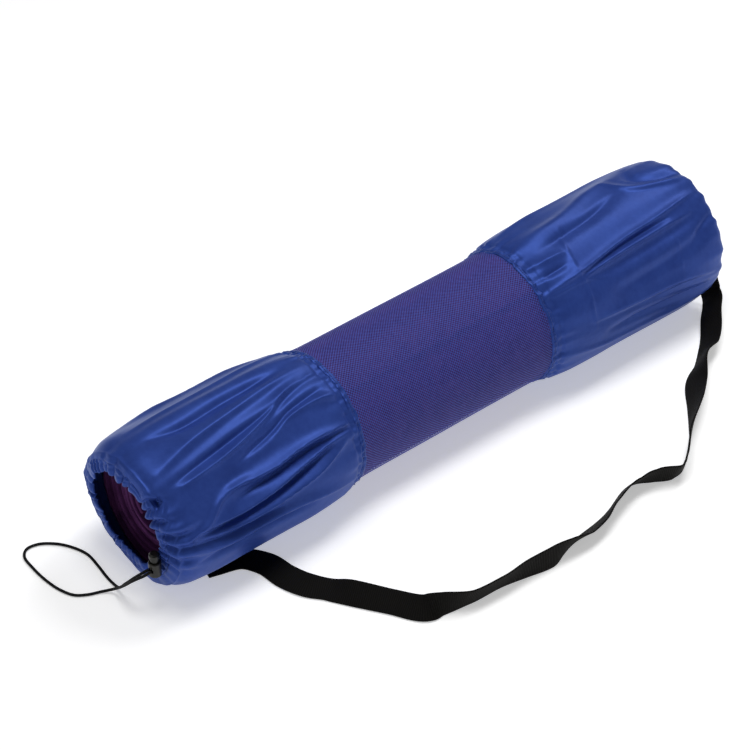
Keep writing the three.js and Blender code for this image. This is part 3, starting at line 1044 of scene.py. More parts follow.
MOUTH_GATHERS = Gathers(
    36,
    1.7 * MM,
    14 * MM,
    seed=5,
    extra=(
        (44.0, -13.0 * MM, 6.0, 19 * MM),
        (35.5, 5.5 * MM, 3.0, 18 * MM),
        (53.0, 5.0 * MM, 3.0, 17 * MM),
        (59.0, -6.0 * MM, 2.5, 19 * MM),
        (65.5, 4.2 * MM, 2.8, 25 * MM),
        (71.5, -6.0 * MM, 2.3, 26 * MM),
        (77.0, 3.6 * MM, 2.4, 30 * MM),
        (82.0, -5.0 * MM, 2.1, 30 * MM),
        (88.0, 3.6 * MM, 2.8, 34 * MM),
        (94.5, -4.6 * MM, 2.4, 30 * MM),
        (101.0, 2.8 * MM, 2.8, 24 * MM),
        (107.0, -3.0 * MM, 2.2, 20 * MM),
        (14.0, -2.6 * MM, 3.0, 12 * MM),
        (-6.0, -2.8 * MM, 2.6, 12 * MM),
        (-22.0, -2.6 * MM, 2.6, 12 * MM),
    ),
)


def mouth_draw(degrees: Array) -> Array:
    """How far the gathers push the cloth forward where the casing is sewn to the sleeve."""
    drawn = MOUTH_GATHERS.lift(degrees, np.zeros_like(degrees))
    return 0.4 * np.clip(drawn, -4.5 * MM, 3.0 * MM)


@dataclass(frozen=True)
class Sleeve:
    """One gathered nylon sleeve, from its seam on the net to its drawn-in end."""

    bag: Bag
    name: str
    way: Along
    profile: Sequence[tuple[float, float]]
    folds: Sequence[Fold]
    seam_gathers: Gathers
    end_gathers: Gathers
    ripples: Ripples
    flat: tuple[float, float]
    bed: float = 0.0
    columns: int = 340
    rows: int = 132
    wall: float = 0.0004
    clearance: float = 0.0012
    presses: int = 2
    seam_offset: float = 0.0028
    tuck: float = 0.0018
    groove: float = 0.0013
    fold_depth: float = 1.5

    @property
    def reach(self) -> float:
        """The sleeve's length along the bag, where its folds are given in shares."""
        if self.way is Along.TO_MOUTH:
            return self.bag.front_seam - self.seam_offset - self.bag.rim
        return self.bag.end - self.bag.rear_seam - self.seam_offset

    def place(self, across: Array, down: Array) -> Array:
        """Points of the sleeve.

        Args:
            across: Shares of the way round.
            down: Shares of the way from the seam to the drawn-in end.

        Returns:
            One row of coordinates for each point.
        """
        bag = self.bag
        line = Profile(self.profile)
        run, radius, normal_x, normal_r = line.at(down)
        degrees = round_bag(across)
        along = run / self.reach
        seam_gap = down * line.length - self.tuck
        end_gap = (1.0 - down) * line.length
        body = eased(seam_gap, 0.0, 0.014) * eased(end_gap, 0.0, 0.030)
        lift = np.zeros_like(down)
        for fold in self.folds:
            lift += self.fold_depth * fold.lift(along, degrees, self.reach, bag.sleeve_radius)
        lift = lift * body + self.ripples.lift(degrees, along) * body
        lift += self.seam_gathers.lift(degrees, np.maximum(seam_gap, 0.0)) * eased(seam_gap, -0.001, 0.003)
        lift -= self.groove * np.exp(-(((seam_gap - 0.0058) / 0.0018) ** 2))
        mouth = self.way is Along.TO_MOUTH
        drawn_in = eased(end_gap, 0.0, 0.006) if mouth else eased(end_gap, -0.002, 0.004)
        lift += self.end_gathers.lift(degrees, end_gap) * drawn_in
        forward = mouth_draw(degrees) * (1.0 - drawn_in) if mouth else 0.0
        turned = eased(along, 0.5, 1.0)
        lean = -bag.rim_lean * turned * np.cos(np.radians(degrees)) if mouth else 0.0
        centre = bag.mouth_offset * eased(down, 0.93, 1.0) if mouth else 0.0
        seam = bag.front_seam if mouth else bag.rear_seam
        start = seam + self.way.value * self.seam_offset
        x = start + self.way.value * (run + normal_x * lift) + lean - forward
        radius = radius + normal_r * lift
        spots = bag.around(x, radius, degrees, centre)
        for _ in range(self.presses):
            spots = self.kept_clear(spots, normal_r > 0.6)
        return spots

    def kept_clear(self, spots: Array, beside: Array) -> Array:
        """Points moved out of the mat and off the floor and the strap's end.

        Args:
            spots: The sleeve's points.
            beside: Which of them lie beside the mat, and not before or behind its ends.

        Returns:
            The points, where the sleeve can lie.
        """
        bag = self.bag
        arms = spots[:, 1:] - (bag.axis_y, bag.axis_z)
        radius = np.maximum(np.linalg.norm(arms, axis=1), 1e-9)
        least = kept_above(radius, bag.roll_radius + self.clearance, 0.0008)
        grow = np.where(beside, least / radius, 1.0)
        spots[:, 1:] = (bag.axis_y, bag.axis_z) + arms * grow[:, None]
        bed = self.bed * (1.0 - eased(spots[:, 1] - bag.axis_y, -0.015, -0.009))
        spots[:, 2] = kept_above(spots[:, 2], bed + 0.0002)
        return spots

    def build(self) -> bpy.types.Object:
        """Make the sleeve.

        Returns:
            The sleeve, dressed, with its wall as a modifier.
        """
        piece = Sculptor.sheet(self.name + "_cloth", self.columns, self.rows, self.place)
        Sculptor.turn_out(piece, Vector((0.0, self.bag.axis_y, self.bag.axis_z)))
        Sculptor.thicken(piece, self.wall)
        size = (2 * math.pi * self.bag.sleeve_radius, Profile(self.profile).length)
        dress(piece, NylonFinish(size).make(self.name + "_nylon"), self.name)
        return piece


@dataclass(frozen=True)
class MouthCasing:
    """The ruffled hem round the mouth, a channel for the drawcord."""

    bag: Bag
    thickness: float = 0.0034
    lobes: Scallops = Scallops(32, 1.5, 0.7)
    lobe_depth: float = 0.0034
    edge: Gathers = Gathers(25, 1.8 * MM, 9 * MM, seed=8)
    lock_angle: float = 112.0
    wider_at: float = 48.0
    wider_by: float = 0.0045
    wider_over: float = 48.0
    flat: tuple[float, float] = (0.47, 0.034)

    def place(self, across: Array, section: Array) -> Array:
        """Points of the casing.

        Args:
            across: Shares of the way round the mouth.
            section: Shares of the way round its section, from the sleeve over the front.

        Returns:
            One row of coordinates for each point.
        """
        bag = self.bag
        degrees = round_bag(across)
        turn = section * 2 * math.pi
        outward = np.cos(turn)
        front = np.sign(np.sin(turn)) * np.abs(np.sin(turn)) ** 0.8
        free = (1.0 - outward) / 2
        zero = np.zeros_like(degrees)
        calm = 1.0 - 0.75 * np.exp(-((wrapped(degrees - self.lock_angle) / 9.0) ** 2))
        uneven = 1.0 + 0.45 * np.sin(np.radians(degrees) * 7 + 0.8)
        lobe = (self.lobes.rise(degrees) - 0.5) * calm * uneven
        wavy = self.edge.lift(degrees, zero) * calm
        pinch = np.exp(-((free - 0.42) / 0.09) ** 2) * 0.4
        loose = eased(free, 0.08, 0.3)
        wider = self.wider_by * np.exp(-((wrapped(degrees - self.wider_at) / self.wider_over) ** 2))
        x = (
            bag.rim
            - bag.lip_reach
            + 0.15 * bag.lip_reach * (1.0 + outward) / 2
            - bag.rim_lean * np.cos(np.radians(degrees))
            - front * self.thickness / 2 * (1.0 + 0.9 * lobe * loose) * (1.0 - pinch)
            - self.lobe_depth * lobe * (0.3 + 0.7 * free) * loose
            - mouth_draw(degrees) * (1.0 - 0.7 * free)
        )
        middle = bag.mouth_radius + bag.casing_width / 2
        inward = 0.4 * self.lobe_depth * lobe - wavy - wider
        radius = middle + outward * bag.casing_width / 2 - inward * free * loose
        return bag.around(x, radius, degrees, bag.mouth_offset)

    def build(self) -> bpy.types.Object:
        """Make the casing.

        Returns:
            The casing, dressed.
        """
        piece = Sculptor.sheet("mouth_casing_cloth", 520, 36, self.place, solid=True)
        dress(piece, NylonFinish(self.flat).make("casing_nylon"), "mouth_casing")
        return piece


@dataclass(frozen=True)
class SeamBand:
    """A puckered nylon edge sewn round the bag where a sleeve meets the net."""

    bag: Bag
    name: str
    x: float
    way: Along
    seed: int
    width: float = 0.0058
    height: float = 0.0023
    stitch: float = 0.0026

    @property
    def puckers(self) -> Gathers:
        """The small bumps along the band."""
        return Gathers(70, 1.3 * MM, 9 * MM, self.seed)

    def place(self, across: Array, section: Array) -> Array:
        """Points of the band.

        Args:
            across: Shares of the way round the bag.
            section: Shares of the way round its section.

        Returns:
            One row of coordinates for each point.
        """
        bag = self.bag
        degrees = round_bag(across)
        turn = section * 2 * math.pi
        wide = np.sign(np.cos(turn)) * np.abs(np.cos(turn)) ** 0.7
        tall = np.sign(np.sin(turn)) * np.abs(np.sin(turn)) ** 0.7
        zero = np.zeros_like(degrees)
        pucker = self.puckers.lift(degrees, zero)
        sway = Gathers(53, 0.8 * MM, 9 * MM, self.seed + 1).lift(degrees, zero)
        groove = 0.0005 * np.exp(-((wide / 0.25) ** 2)) * (tall > 0)
        low = bag.mesh_radius - 0.0010
        rise = np.maximum(self.height + pucker * (0.4 + 0.6 * (wide * self.way.value > -0.2)), 0.0006)
        radius = low + (tall + 1) / 2 * rise - groove
        x = self.x + wide * self.width / 2 + sway + 0.5 * pucker * self.way.value
        spots = bag.around(x, radius, degrees)
        spots[:, 2] = kept_above(spots[:, 2], 0.0004)
        return spots

    def build(self) -> bpy.types.Object:
        """Make the band.

        Returns:
            The band, dressed.
        """
        piece = Sculptor.sheet(self.name + "_band", 430, 16, self.place, solid=True)
        dress(piece, NylonFinish((0.43, 0.014)).make(self.name + "_nylon"), self.name)
        return piece

    def build_stitches(self) -> bpy.types.Object:
        """Make the row of stitches along the band.

        Returns:
            The stitches, as one piece.
        """
        bag = self.bag
        radius = bag.mesh_radius + self.height - 0.0012
        count = int(2 * math.pi * radius / self.stitch)
        degrees = np.arange(count) * 360.0 / count
        pucker = self.puckers.lift(degrees, np.zeros(count))
        spots = bag.around(np.full(count, self.x), radius + pucker, degrees)
        spots[:, 2] = np.maximum(spots[:, 2], 0.0012)
        ways = bag.around(np.full(count, self.x), radius + 0.01, degrees + 1.0) - bag.around(
            np.full(count, self.x), radius + 0.01, degrees
        )
        return Stitching(self.name + "_stitches", 0.0021, 0.00042).build(spots, ways)


@dataclass(frozen=True)
class Stitching:
    """A row of short raised stitches."""

    name: str
    length: float
    radius: float

    def build(self, spots: Array, ways: Array) -> bpy.types.Object:
        """Lay stitches at places on a surface.

        Args:
            spots: The middle of each.
            ways: The way in which each runs.

        Returns:
            All of them as one piece.
        """
        mesh = bmesh.new()
        for spot, way in zip(spots, ways):
            turn = Vector(way).to_track_quat("Z", "Y").to_matrix().to_4x4()
            turn.translation = Vector(spot)
            made = bmesh.ops.create_uvsphere(mesh, u_segments=6, v_segments=4, radius=self.radius)
            stretch = (1.0, 1.0, self.length / (2 * self.radius))
            bmesh.ops.scale(mesh, vec=stretch, verts=made["verts"])
            bmesh.ops.transform(mesh, matrix=turn, verts=made["verts"])
        piece = Sculptor.piece(self.name, mesh)
        dress(piece, ThreadFinish().make(self.name + "_thread"))
        return piece


@dataclass(frozen=True)
class Net:
    """The stretched net between the seams, with real holes between its yarns."""

    bag: Bag
    columns: int = 134
    rows: int = 73
    yarn: float = 0.00068
    stand: float = 0.0009
    ripples: Ripples = Ripples(0.15 * MM, 3, (2, 7), 2.0)
    flat: tuple[float, float] = (0.43, 0.245)
    cover: float = 0.64

    def place(self, across: Array, down: Array) -> Array:
        """Points of the net.

        Args:
            across: Shares of the way round the bag.
            down: Shares of the way from the front seam to the rear one.

        Returns:
            One row of coordinates for each point.
        """
        bag = self.bag
        degrees = round_bag(across)
        x = bag.front_seam + 0.0024 + down * (bag.rear_seam - bag.front_seam - 0.0048)
        near = np.exp(-np.minimum(down, 1 - down) / 0.03)
        radius = bag.roll_radius + self.stand + self.ripples.lift(degrees, down) + 0.001 * near
        return bag.around(x, radius, degrees)

    def build(self) -> bpy.types.Object:
        """Make the net: diamonds from a poked grid, each with a hole cut in it.

        Returns:
            The net, dressed.
        """
        piece = Sculptor.sheet("net_cloth", self.columns, self.rows, self.place)
        Sculptor.turn_out(piece, Vector((0.0, self.bag.axis_y, self.bag.axis_z)))
        mesh = bmesh.new()
        mesh.from_mesh(piece.data)
        first = set(mesh.edges)
        bmesh.ops.poke(mesh, faces=mesh.faces[:])
        inner = [edge for edge in mesh.edges if edge in first and len(edge.link_faces) == 2]
        bmesh.ops.dissolve_edges(mesh, edges=inner, use_verts=False)
        cells = [face for face in mesh.faces if len(face.verts) == 4]
        bmesh.ops.inset_individual(mesh, faces=cells, thickness=self.yarn, depth=-0.0001)
        holes = [face for face in cells if face.is_valid]
        bmesh.ops.delete(mesh, geom=holes, context="FACES")
        mesh.to_mesh(piece.data)
        mesh.free()
        piece.data.shade_smooth()
        finish = NetFinish((float(self.columns), float(self.rows)))
        dress(piece, finish.make("net_yarn"), "mesh_sleeve")
        return piece


@dataclass(frozen=True)
class RolledMat:
    """The foam mat, wound from its core out."""

    bag: Bag
    thickness: float = 0.006
    pitch: float = 0.0074
    core: float = 0.012
    tuck: float = 215.0
    climb: float = 0.35
    slack: float = 0.0016
    core_shift: float = 0.008
    recess: float = 0.023
    telescope: float = 0.007
    width: float = 0.610
    steps: int = 560
    rows: int = 5

    def place(self, across: Array, down: Array) -> Array:
        """Points of the mat's outer face.

        Args:
            across: Shares of the way from the core to the tucked edge.
            down: Shares of the way from the mouth to the closed end.

        Returns:
            One row of coordinates for each point.
        """
        outer = self.bag.roll_radius - self.thickness
        turns = (outer - self.core) / self.pitch
        left = (1.0 - across) * turns
        whole = np.ceil(left - 1e-9)
        climb = eased(whole - left, 0.0, self.climb)
        low = outer - (whole - climb) * self.pitch
        degrees = self.tuck - 360.0 * left
        slack = 0.00035 * np.sin(np.radians(degrees) * 2 + left * 1.7) * np.minimum(left, 1.0)
        start = self.bag.rim - self.bag.lip_reach + self.recess
        outer_turns = np.clip(1.7 - left, 0.0, 1.7) / 1.7
        uneven = 0.0014 * np.sin(left * 2.1 + 0.6) + 0.0006 * np.sin(left * 7.3)
        uneven = (uneven - self.telescope * eased(outer_turns, 0.0, 1.0)) * (1.0 - down)
        x = start + uneven + down * (self.width - uneven)
        shift = self.core_shift * np.clip(1.0 - low / outer, 0.0, 1.0)
        return self.bag.around(x, low + self.thickness + slack, degrees + 180.0, shift)

    def build(self) -> bpy.types.Object:
        """Make the mat.

        Returns:
            The mat, dressed.
        """
        piece = Sculptor.sheet("mat_foam", self.steps, self.rows, self.place, closed=False)
        Sculptor.turn_out(piece, Vector((0.0, self.bag.axis_y, self.bag.axis_z)))
        Sculptor.thicken(piece, self.thickness - self.slack)
        edge = piece.modifiers.new("Edge", "BEVEL")
        edge.width = 0.0018
        edge.segments = 3
        edge.limit_method = "ANGLE"
        edge.angle_limit = math.radians(60)
        dress(piece, FoamFinish().make("mat_foam"), "rolled_mat")
        return piece


@dataclass(frozen=True)
class EndPanel:
    """The round panel that closes the far end, puckered at its edge."""

    bag: Bag
    radius: float = 0.0662
    dome: float = 0.0046
    wall: float = 0.0005
    puckers: Gathers = Gathers(30, 0.9 * MM, 10 * MM, seed=12)

    def place(self, across: Array, down: Array) -> Array:
        """Points of the panel.

        Args:
            across: Shares of the way round.
            down: Shares of the way from the middle to the edge.

        Returns:
            One row of coordinates for each point.
        """
        degrees = round_bag(across)
        edge = (1.0 - down) * self.radius
        lift = self.puckers.lift(degrees, edge)
        slack = 0.0007 * np.sin(np.radians(degrees) * 3 + 1.0) * np.sin(down * math.pi)
        x = self.bag.end + self.dome * (1.0 - down**2) + lift + slack * 1.5
        return self.bag.around(x, down * self.radius, degrees)

    def build(self) -> bpy.types.Object:
        """Make the panel.

        Returns:
            The panel, dressed.
        """
        piece = Sculptor.sheet("end_panel_cloth", 180, 26, self.place, solid=True)
        Sculptor.thicken(piece, self.wall)
        dress(piece, NylonFinish((0.42, 0.066)).make("end_nylon"), "end_panel")
        return piece


@dataclass(frozen=True)
class StrapStop:
    """One place on the strap's route, in shares as the CAD source has it, with its turn and lean."""

    along: float
    out: float
    up: float
    turn: float
    lean: float


@dataclass(frozen=True)
class ShoulderStrap:
    """The webbing strap, twisting along the floor between the bag's two ends."""

    bag: Bag
    route: Sequence[StrapStop]
    width: float = 0.025
    thickness: float = 0.0015
    reach: float = 0.235
    root: float = 0.0035
    gap: float = 0.0003
    cut_end: float = 0.011
    steps: int = 360
    across_steps: int = 10

    def lines(self) -> tuple[Curve, Curve]:
        """The strap's middle line and the way of its width.

        Returns:
            Two curves counted by the same points.
        """
        bag = self.bag
        half = (bag.end - bag.rim) / 2
        middle, widths = [], []
        for stop in self.route:
            turn, lean = math.radians(stop.turn), math.radians(stop.lean)
            middle.append((stop.along * half, -stop.out * self.reach, stop.up * self.width))
            flat = math.cos(lean)
            widths.append((flat * math.cos(turn), flat * math.sin(turn), math.sin(lean)))
        _, y, z = middle[-1]
        for stand, rise in ((self.root + 0.001, 0.011), (self.root, 0.020)):
            middle.append((half + stand, y + 0.4 * rise, z + rise))
            widths.append(widths[-1])
        return Curve(np.array(middle) + bag.origin), Curve(np.array(widths))

    def place(self, across: Array, down: Array) -> Array:
        """Points of the strap's upper face.

        Args:
            across: Shares of its width.
            down: Shares of its length from the mouth.

        Returns:
            One row of coordinates for each point.
        """
        line, edge = self.lines()
        table = line.shares_by_length(self.steps + 1)
        fine = np.linspace(0.0, 1.0, self.steps + 1)
        share = np.interp(self.cut_end + (1.0 - self.cut_end) * down, fine, table)
        spots = line.at(share)
        ahead = line.at(np.minimum(share + 1e-4, 1.0)) - line.at(np.maximum(share - 1e-4, 0.0))
        ahead /= np.linalg.norm(ahead, axis=1)[:, None]
        wide = edge.at(share)
        wide -= ahead * np.sum(wide * ahead, axis=1)[:, None]
        wide /= np.linalg.norm(wide, axis=1)[:, None]
        face = np.cross(ahead, wide)
        offset = (across - 0.5) * (self.width - 0.0002)
        low = spots[:, 2] - np.abs(wide[:, 2]) * self.width / 2 - np.abs(face[:, 2]) * self.thickness / 2
        spots[:, 2] += np.maximum(self.gap - low, 0.0)
        return spots + wide * offset[:, None] + face * self.thickness / 2

    def build(self) -> bpy.types.Object:
        """Make the strap.

        Returns:
            The strap, dressed.
        """
        piece = Sculptor.sheet(
            "strap_webbing", self.across_steps, self.steps, self.place, closed=False, turned=True
        )
        Sculptor.thicken(piece, self.thickness)
        edge = piece.modifiers.new("Selvedge", "BEVEL")
        edge.width = 0.0005
        edge.segments = 2
        edge.limit_method = "ANGLE"
        edge.angle_limit = math.radians(50)
        line, _ = self.lines()
        spots = line.at(line.shares_by_length(self.steps))
        length = float(np.linalg.norm(np.diff(spots, axis=0), axis=1).sum())
        webbing = WebbingFinish((self.width, length)).make("strap_webbing")
        dress(piece, webbing, "shoulder_strap")
        return piece


@dataclass(frozen=True)
class Drawcord:
    """The free loop of drawcord, from the cord lock round over the floor and back."""

    bag: Bag
    points: Sequence[tuple[float, float, float]]
    diameter: float = 0.0028
    steps: int = 300
    sides: int = 14

    def line(self) -> Array:
        """The cord's middle line.

        Returns:
            Points from where it leaves the lock to where it goes back.
        """
        curve = Curve(np.array(self.points) * MM + self.bag.origin)
        return curve.at(curve.shares_by_length(self.steps + 1))

    def place(self, across: Array, down: Array) -> Array:
        """Points of the cord's skin.

        Args:
            across: Shares of the way round it.
            down: Shares of its length.

        Returns:
            One row of coordinates for each point.
        """
        line = self.line()
        ahead = np.gradient(line, axis=0)
        ahead /= np.linalg.norm(ahead, axis=1)[:, None]
        side = np.zeros_like(line)
        hold = np.array([0.0, 0.0, 1.0])
        for index, way in enumerate(ahead):
            hold = hold - way * (hold @ way)
            hold /= np.linalg.norm(hold)
            side[index] = hold
        other = np.cross(ahead, side)
        index = np.rint(down * self.steps).astype(int)
        turn = across * 2 * math.pi
        reach = self.diameter / 2
        out = side[index] * np.cos(turn)[:, None] + other[index] * np.sin(turn)[:, None]
        return line[index] + out * reach

    def build(self) -> bpy.types.Object:
        """Returns:
            The cord, dressed.
        """
        piece = Sculptor.sheet("drawcord_braid", self.sides, self.steps, self.place, solid=True)
        line = self.line()
        length = float(np.linalg.norm(np.diff(line, axis=0), axis=1).sum())
        turns = (4.0, round(length / 0.0032))
        dress(piece, CordFinish(turns).make("drawcord_braid"), "drawcord")
        LOG.info("drawcord: %.3f m long", length)
        return piece


@dataclass(frozen=True)
class CordLock:
    """The cord lock, whose two CAD nodes stay and get moulded plastic."""

    def dress(self) -> None:
        """Give both nodes their finishes."""
        darker = PlasticFinish(deep=(0.003, 0.003, 0.0028), light=(0.009, 0.0085, 0.007))
        finishes = {"cord_lock_barrel": PlasticFinish(), "cord_lock_plunger": darker}
        for name, finish in finishes.items():
            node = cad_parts[name]
            node.data.materials.clear()
            node.data.materials.append(finish.make(name + "_plastic"))
            LOG.info("dressed CAD node %s", name)


@dataclass(frozen=True)
class PhotoCamera:
    """The camera at the photograph's angle."""

    bag: Bag
    azimuth: float = 48.2
    elevation: float = 38.7
    distance: float = 2.8
    focal: float = 2951.0
    width: float = 750.0
    seen_at: tuple[float, float] = (423.7, 360.4)
    sensor: float = 36.0

    def build(self) -> bpy.types.Object:
        """Make the camera.

        Returns:
            The scene's camera.
        """
        a, e = math.radians(self.azimuth), math.radians(self.elevation)
        look = Vector((math.cos(e) * math.cos(a), math.cos(e) * math.sin(a), -math.sin(e)))
        right = look.cross(Vector((0, 0, 1))).normalized()
        up = right.cross(look)
        middle = Vector(self.bag.origin) + Vector((0.003, 0.0, self.bag.axis_z))
        place = middle - look * self.distance
        half = self.width / 2
        aim = look * self.focal + right * (half - self.seen_at[0]) - up * (half - self.seen_at[1])
        data = bpy.data.cameras.new("photo_camera")
        data.sensor_width = self.sensor
        data.lens = self.focal * self.sensor / self.width
        data.clip_end = 50.0
        camera = bpy.data.objects.new("photo_camera", data)
        camera.location = place
        camera.rotation_mode = "QUATERNION"
        camera.rotation_quaternion = aim.to_track_quat("-Z", "Y")
        bpy.context.scene.collection.objects.link(camera)
        bpy.context.scene.camera = camera
        return camera


@dataclass(frozen=True)
class AreaLight:
    """One soft light."""

    name: str
    place: tuple[float, float, float]
    size: float
    power: float

    def build(self, target: Vector) -> None:
        """Hang the light, turned to a point.

        Args:
            target: What it shines at.
        """
        data = bpy.data.lights.new(self.name, "AREA")
        data.shape = "DISK"
        data.size = self.size
        data.energy = self.power
        light = bpy.data.objects.new(self.name, data)
        light.location = target + Vector(self.place)
        light.rotation_mode = "QUATERNION"
        light.rotation_quaternion = (target - light.location).to_track_quat("-Z", "Y")
        bpy.context.scene.collection.objects.link(light)


@dataclass(frozen=True)
class Studio:
    """A plain pale floor under soft lights."""

    bag: Bag
    half_floor: float = 4.0
    world: float = 0.17
    glow: float = 0.42
    lights: Sequence[AreaLight] = (
        AreaLight("top_light", (-0.3, -0.1, 1.9), 0.8, 12.0),
        AreaLight("front_light", (-1.9, 0.25, 1.0), 0.9, 2.2),
        AreaLight("back_light", (1.35, 0.45, 1.35), 0.6, 5.0),
        AreaLight("side_light", (0.6, -0.1, 1.65), 0.5, 7.0),
    )

    def build(self) -> None:
        """Make the floor, the lights and the plain surroundings."""
        mesh = bmesh.new()
        bmesh.ops.create_grid(mesh, x_segments=1, y_segments=1, size=self.half_floor)
        floor = Sculptor.piece("studio_floor", mesh, smooth=False)
        tree = ShaderTree("studio_floor")
        cloud = tree.noise(tree.coordinates((1.0, 1.0, 1.0), by_uv=False), 3.0)
        shade = tree.mix(cloud.stepped(0.3, 0.7), (0.93, 0.93, 0.93), (0.95, 0.95, 0.95))
        tree.set_surface(
            Base_Color=shade,
            Roughness=0.95,
            Specular_IOR_Level=0.0,
            Emission_Color=(1.0, 1.0, 1.0, 1.0),
            Emission_Strength=self.glow,
        )
        floor.data.materials.append(tree.material)
        for light in self.lights:
            light.build(Vector(self.bag.origin))
        world = bpy.data.worlds.new("studio")
        world.use_nodes = True
        background = world.node_tree.nodes["Background"]
        background.inputs["Color"].default_value = (1.0, 1.0, 1.0, 1.0)
        background.inputs["Strength"].default_value = self.world
        scene = bpy.context.scene
        scene.world = world
        scene.view_settings.view_transform = "Standard"
        scene.view_settings.look = "None"


FRONT_PROFILE = (
    (-0.0018, 0.0682),
    (0.0, 0.0689),
    (0.009, 0.0716),
    (0.026, 0.0742),
    (0.054, 0.0754),
    (0.083, 0.0750),
    (0.111, 0.0746),
    (0.139, 0.0746),
    (0.166, 0.0750),
    (0.186, 0.0747),
    (0.196, 0.0736),
    (0.2025, 0.0712),
    (0.2075, 0.0680),
    (0.2112, 0.0645),
    (0.2126, 0.0598),
)
REAR_PROFILE = (
    (-0.0018, 0.0682),
    (0.0, 0.0689),
    (0.009, 0.0718),
    (0.027, 0.0742),
    (0.058, 0.0750),
    (0.092, 0.0746),
    (0.125, 0.0750),
    (0.158, 0.0758),
    (0.190, 0.0762),
    (0.208, 0.0752),
    (0.218, 0.0732),
    (0.2225, 0.0702),
    (0.2235, 0.0662),
)
FRONT_FOLDS = (
    Fold(((0.2, -44), (0.9, -44)), 0.4, 0.008),
    Fold(((0.04, -30), (0.5, -27), (0.9, -24)), 0.07, 0.02, 1.6),
    Fold(((0.04, -58), (0.5, -55), (0.9, -46)), 0.08, 0.02, 1.6),
    Fold(((0.06, -16), (0.96, -12)), 0.12, 0.025),
    Fold(((0.18, -4), (0.5, -5), (0.74, -2), (0.9, -5)), 0.07, -0.045, 1.6, -0.3),
    Fold(((0.1, 2), (0.5, 9), (0.75, 15), (0.97, 24)), 0.085, 0.04, 1.7, 0.3),
    Fold(((0.12, 12), (0.37, 22), (0.55, 26), (0.95, 36)), 0.06, -0.04, 1.6, -0.3),
    Fold(((0.06, 11), (0.25, 16), (0.4, 25), (0.65, 35), (0.9, 40)), 0.045, 0.045, 1.4, 0.3),
    Fold(((0.1, 25), (0.28, 29), (0.4, 35), (0.62, 43)), 0.05, -0.045, 1.5),
    Fold(((0.01, 37), (0.1, 32), (0.3, 32), (0.4, 38)), 0.05, 0.03, 1.6, 0.3),
    Fold(((0.35, 45), (0.8, 52)), 0.14, -0.03),
    Fold(((0.02, 57), (0.19, 54.5), (0.33, 55), (0.5, 58.7), (0.72, 57)), 0.04, 0.05, 1.2, 0.45),
    Fold(((0.04, 60), (0.3, 60), (0.5, 64), (0.7, 66)), 0.05, -0.05, 1.5),
    Fold(((0.02, 62), (0.17, 62), (0.31, 65), (0.5, 72), (0.67, 75), (0.9, 74)), 0.045, 0.05, 1.3, 0.4),
    Fold(((0.17, 66), (0.32, 71.4), (0.47, 76), (0.76, 79.5), (0.95, 78)), 0.04, -0.055, 1.4),
    Fold(((0.1, 68), (0.25, 76), (0.43, 81), (0.62, 84), (0.85, 83)), 0.045, 0.05, 1.3, 0.3),
    Fold(((0.5, 88), (0.75, 89), (0.97, 84)), 0.05, -0.045, 1.5),
    Fold(((0.04, 104), (0.34, 96), (0.56, 94), (0.77, 95), (0.95, 92)), 0.06, 0.04, 1.5, 0.3),
    Fold(((0.3, 103), (0.6, 102), (0.95, 101)), 0.06, -0.04, 1.5),
    Fold(((0.1, 118), (0.95, 126)), 0.12, 0.02),
    Fold(((0.62, 56), (0.78, 60), (0.86, 70), (0.99, 77)), 0.045, 0.032, 1.5),
    Fold(((0.1, 235), (0.5, 246), (0.95, 262)), 0.1, 0.035, 1.5, 0.3),
    Fold(((0.1, 270), (0.45, 262), (0.9, 240)), 0.07, -0.035, 1.5),
    Fold(((0.05, 284), (0.4, 279), (0.92, 277)), 0.06, 0.035, 1.4, -0.3),
    Fold(((0.1, 300), (0.5, 297), (0.95, 285)), 0.08, -0.035, 1.6),
    Fold(((0.1, 320), (0.6, 309), (0.95, 305)), 0.08, 0.03, 1.5),
)
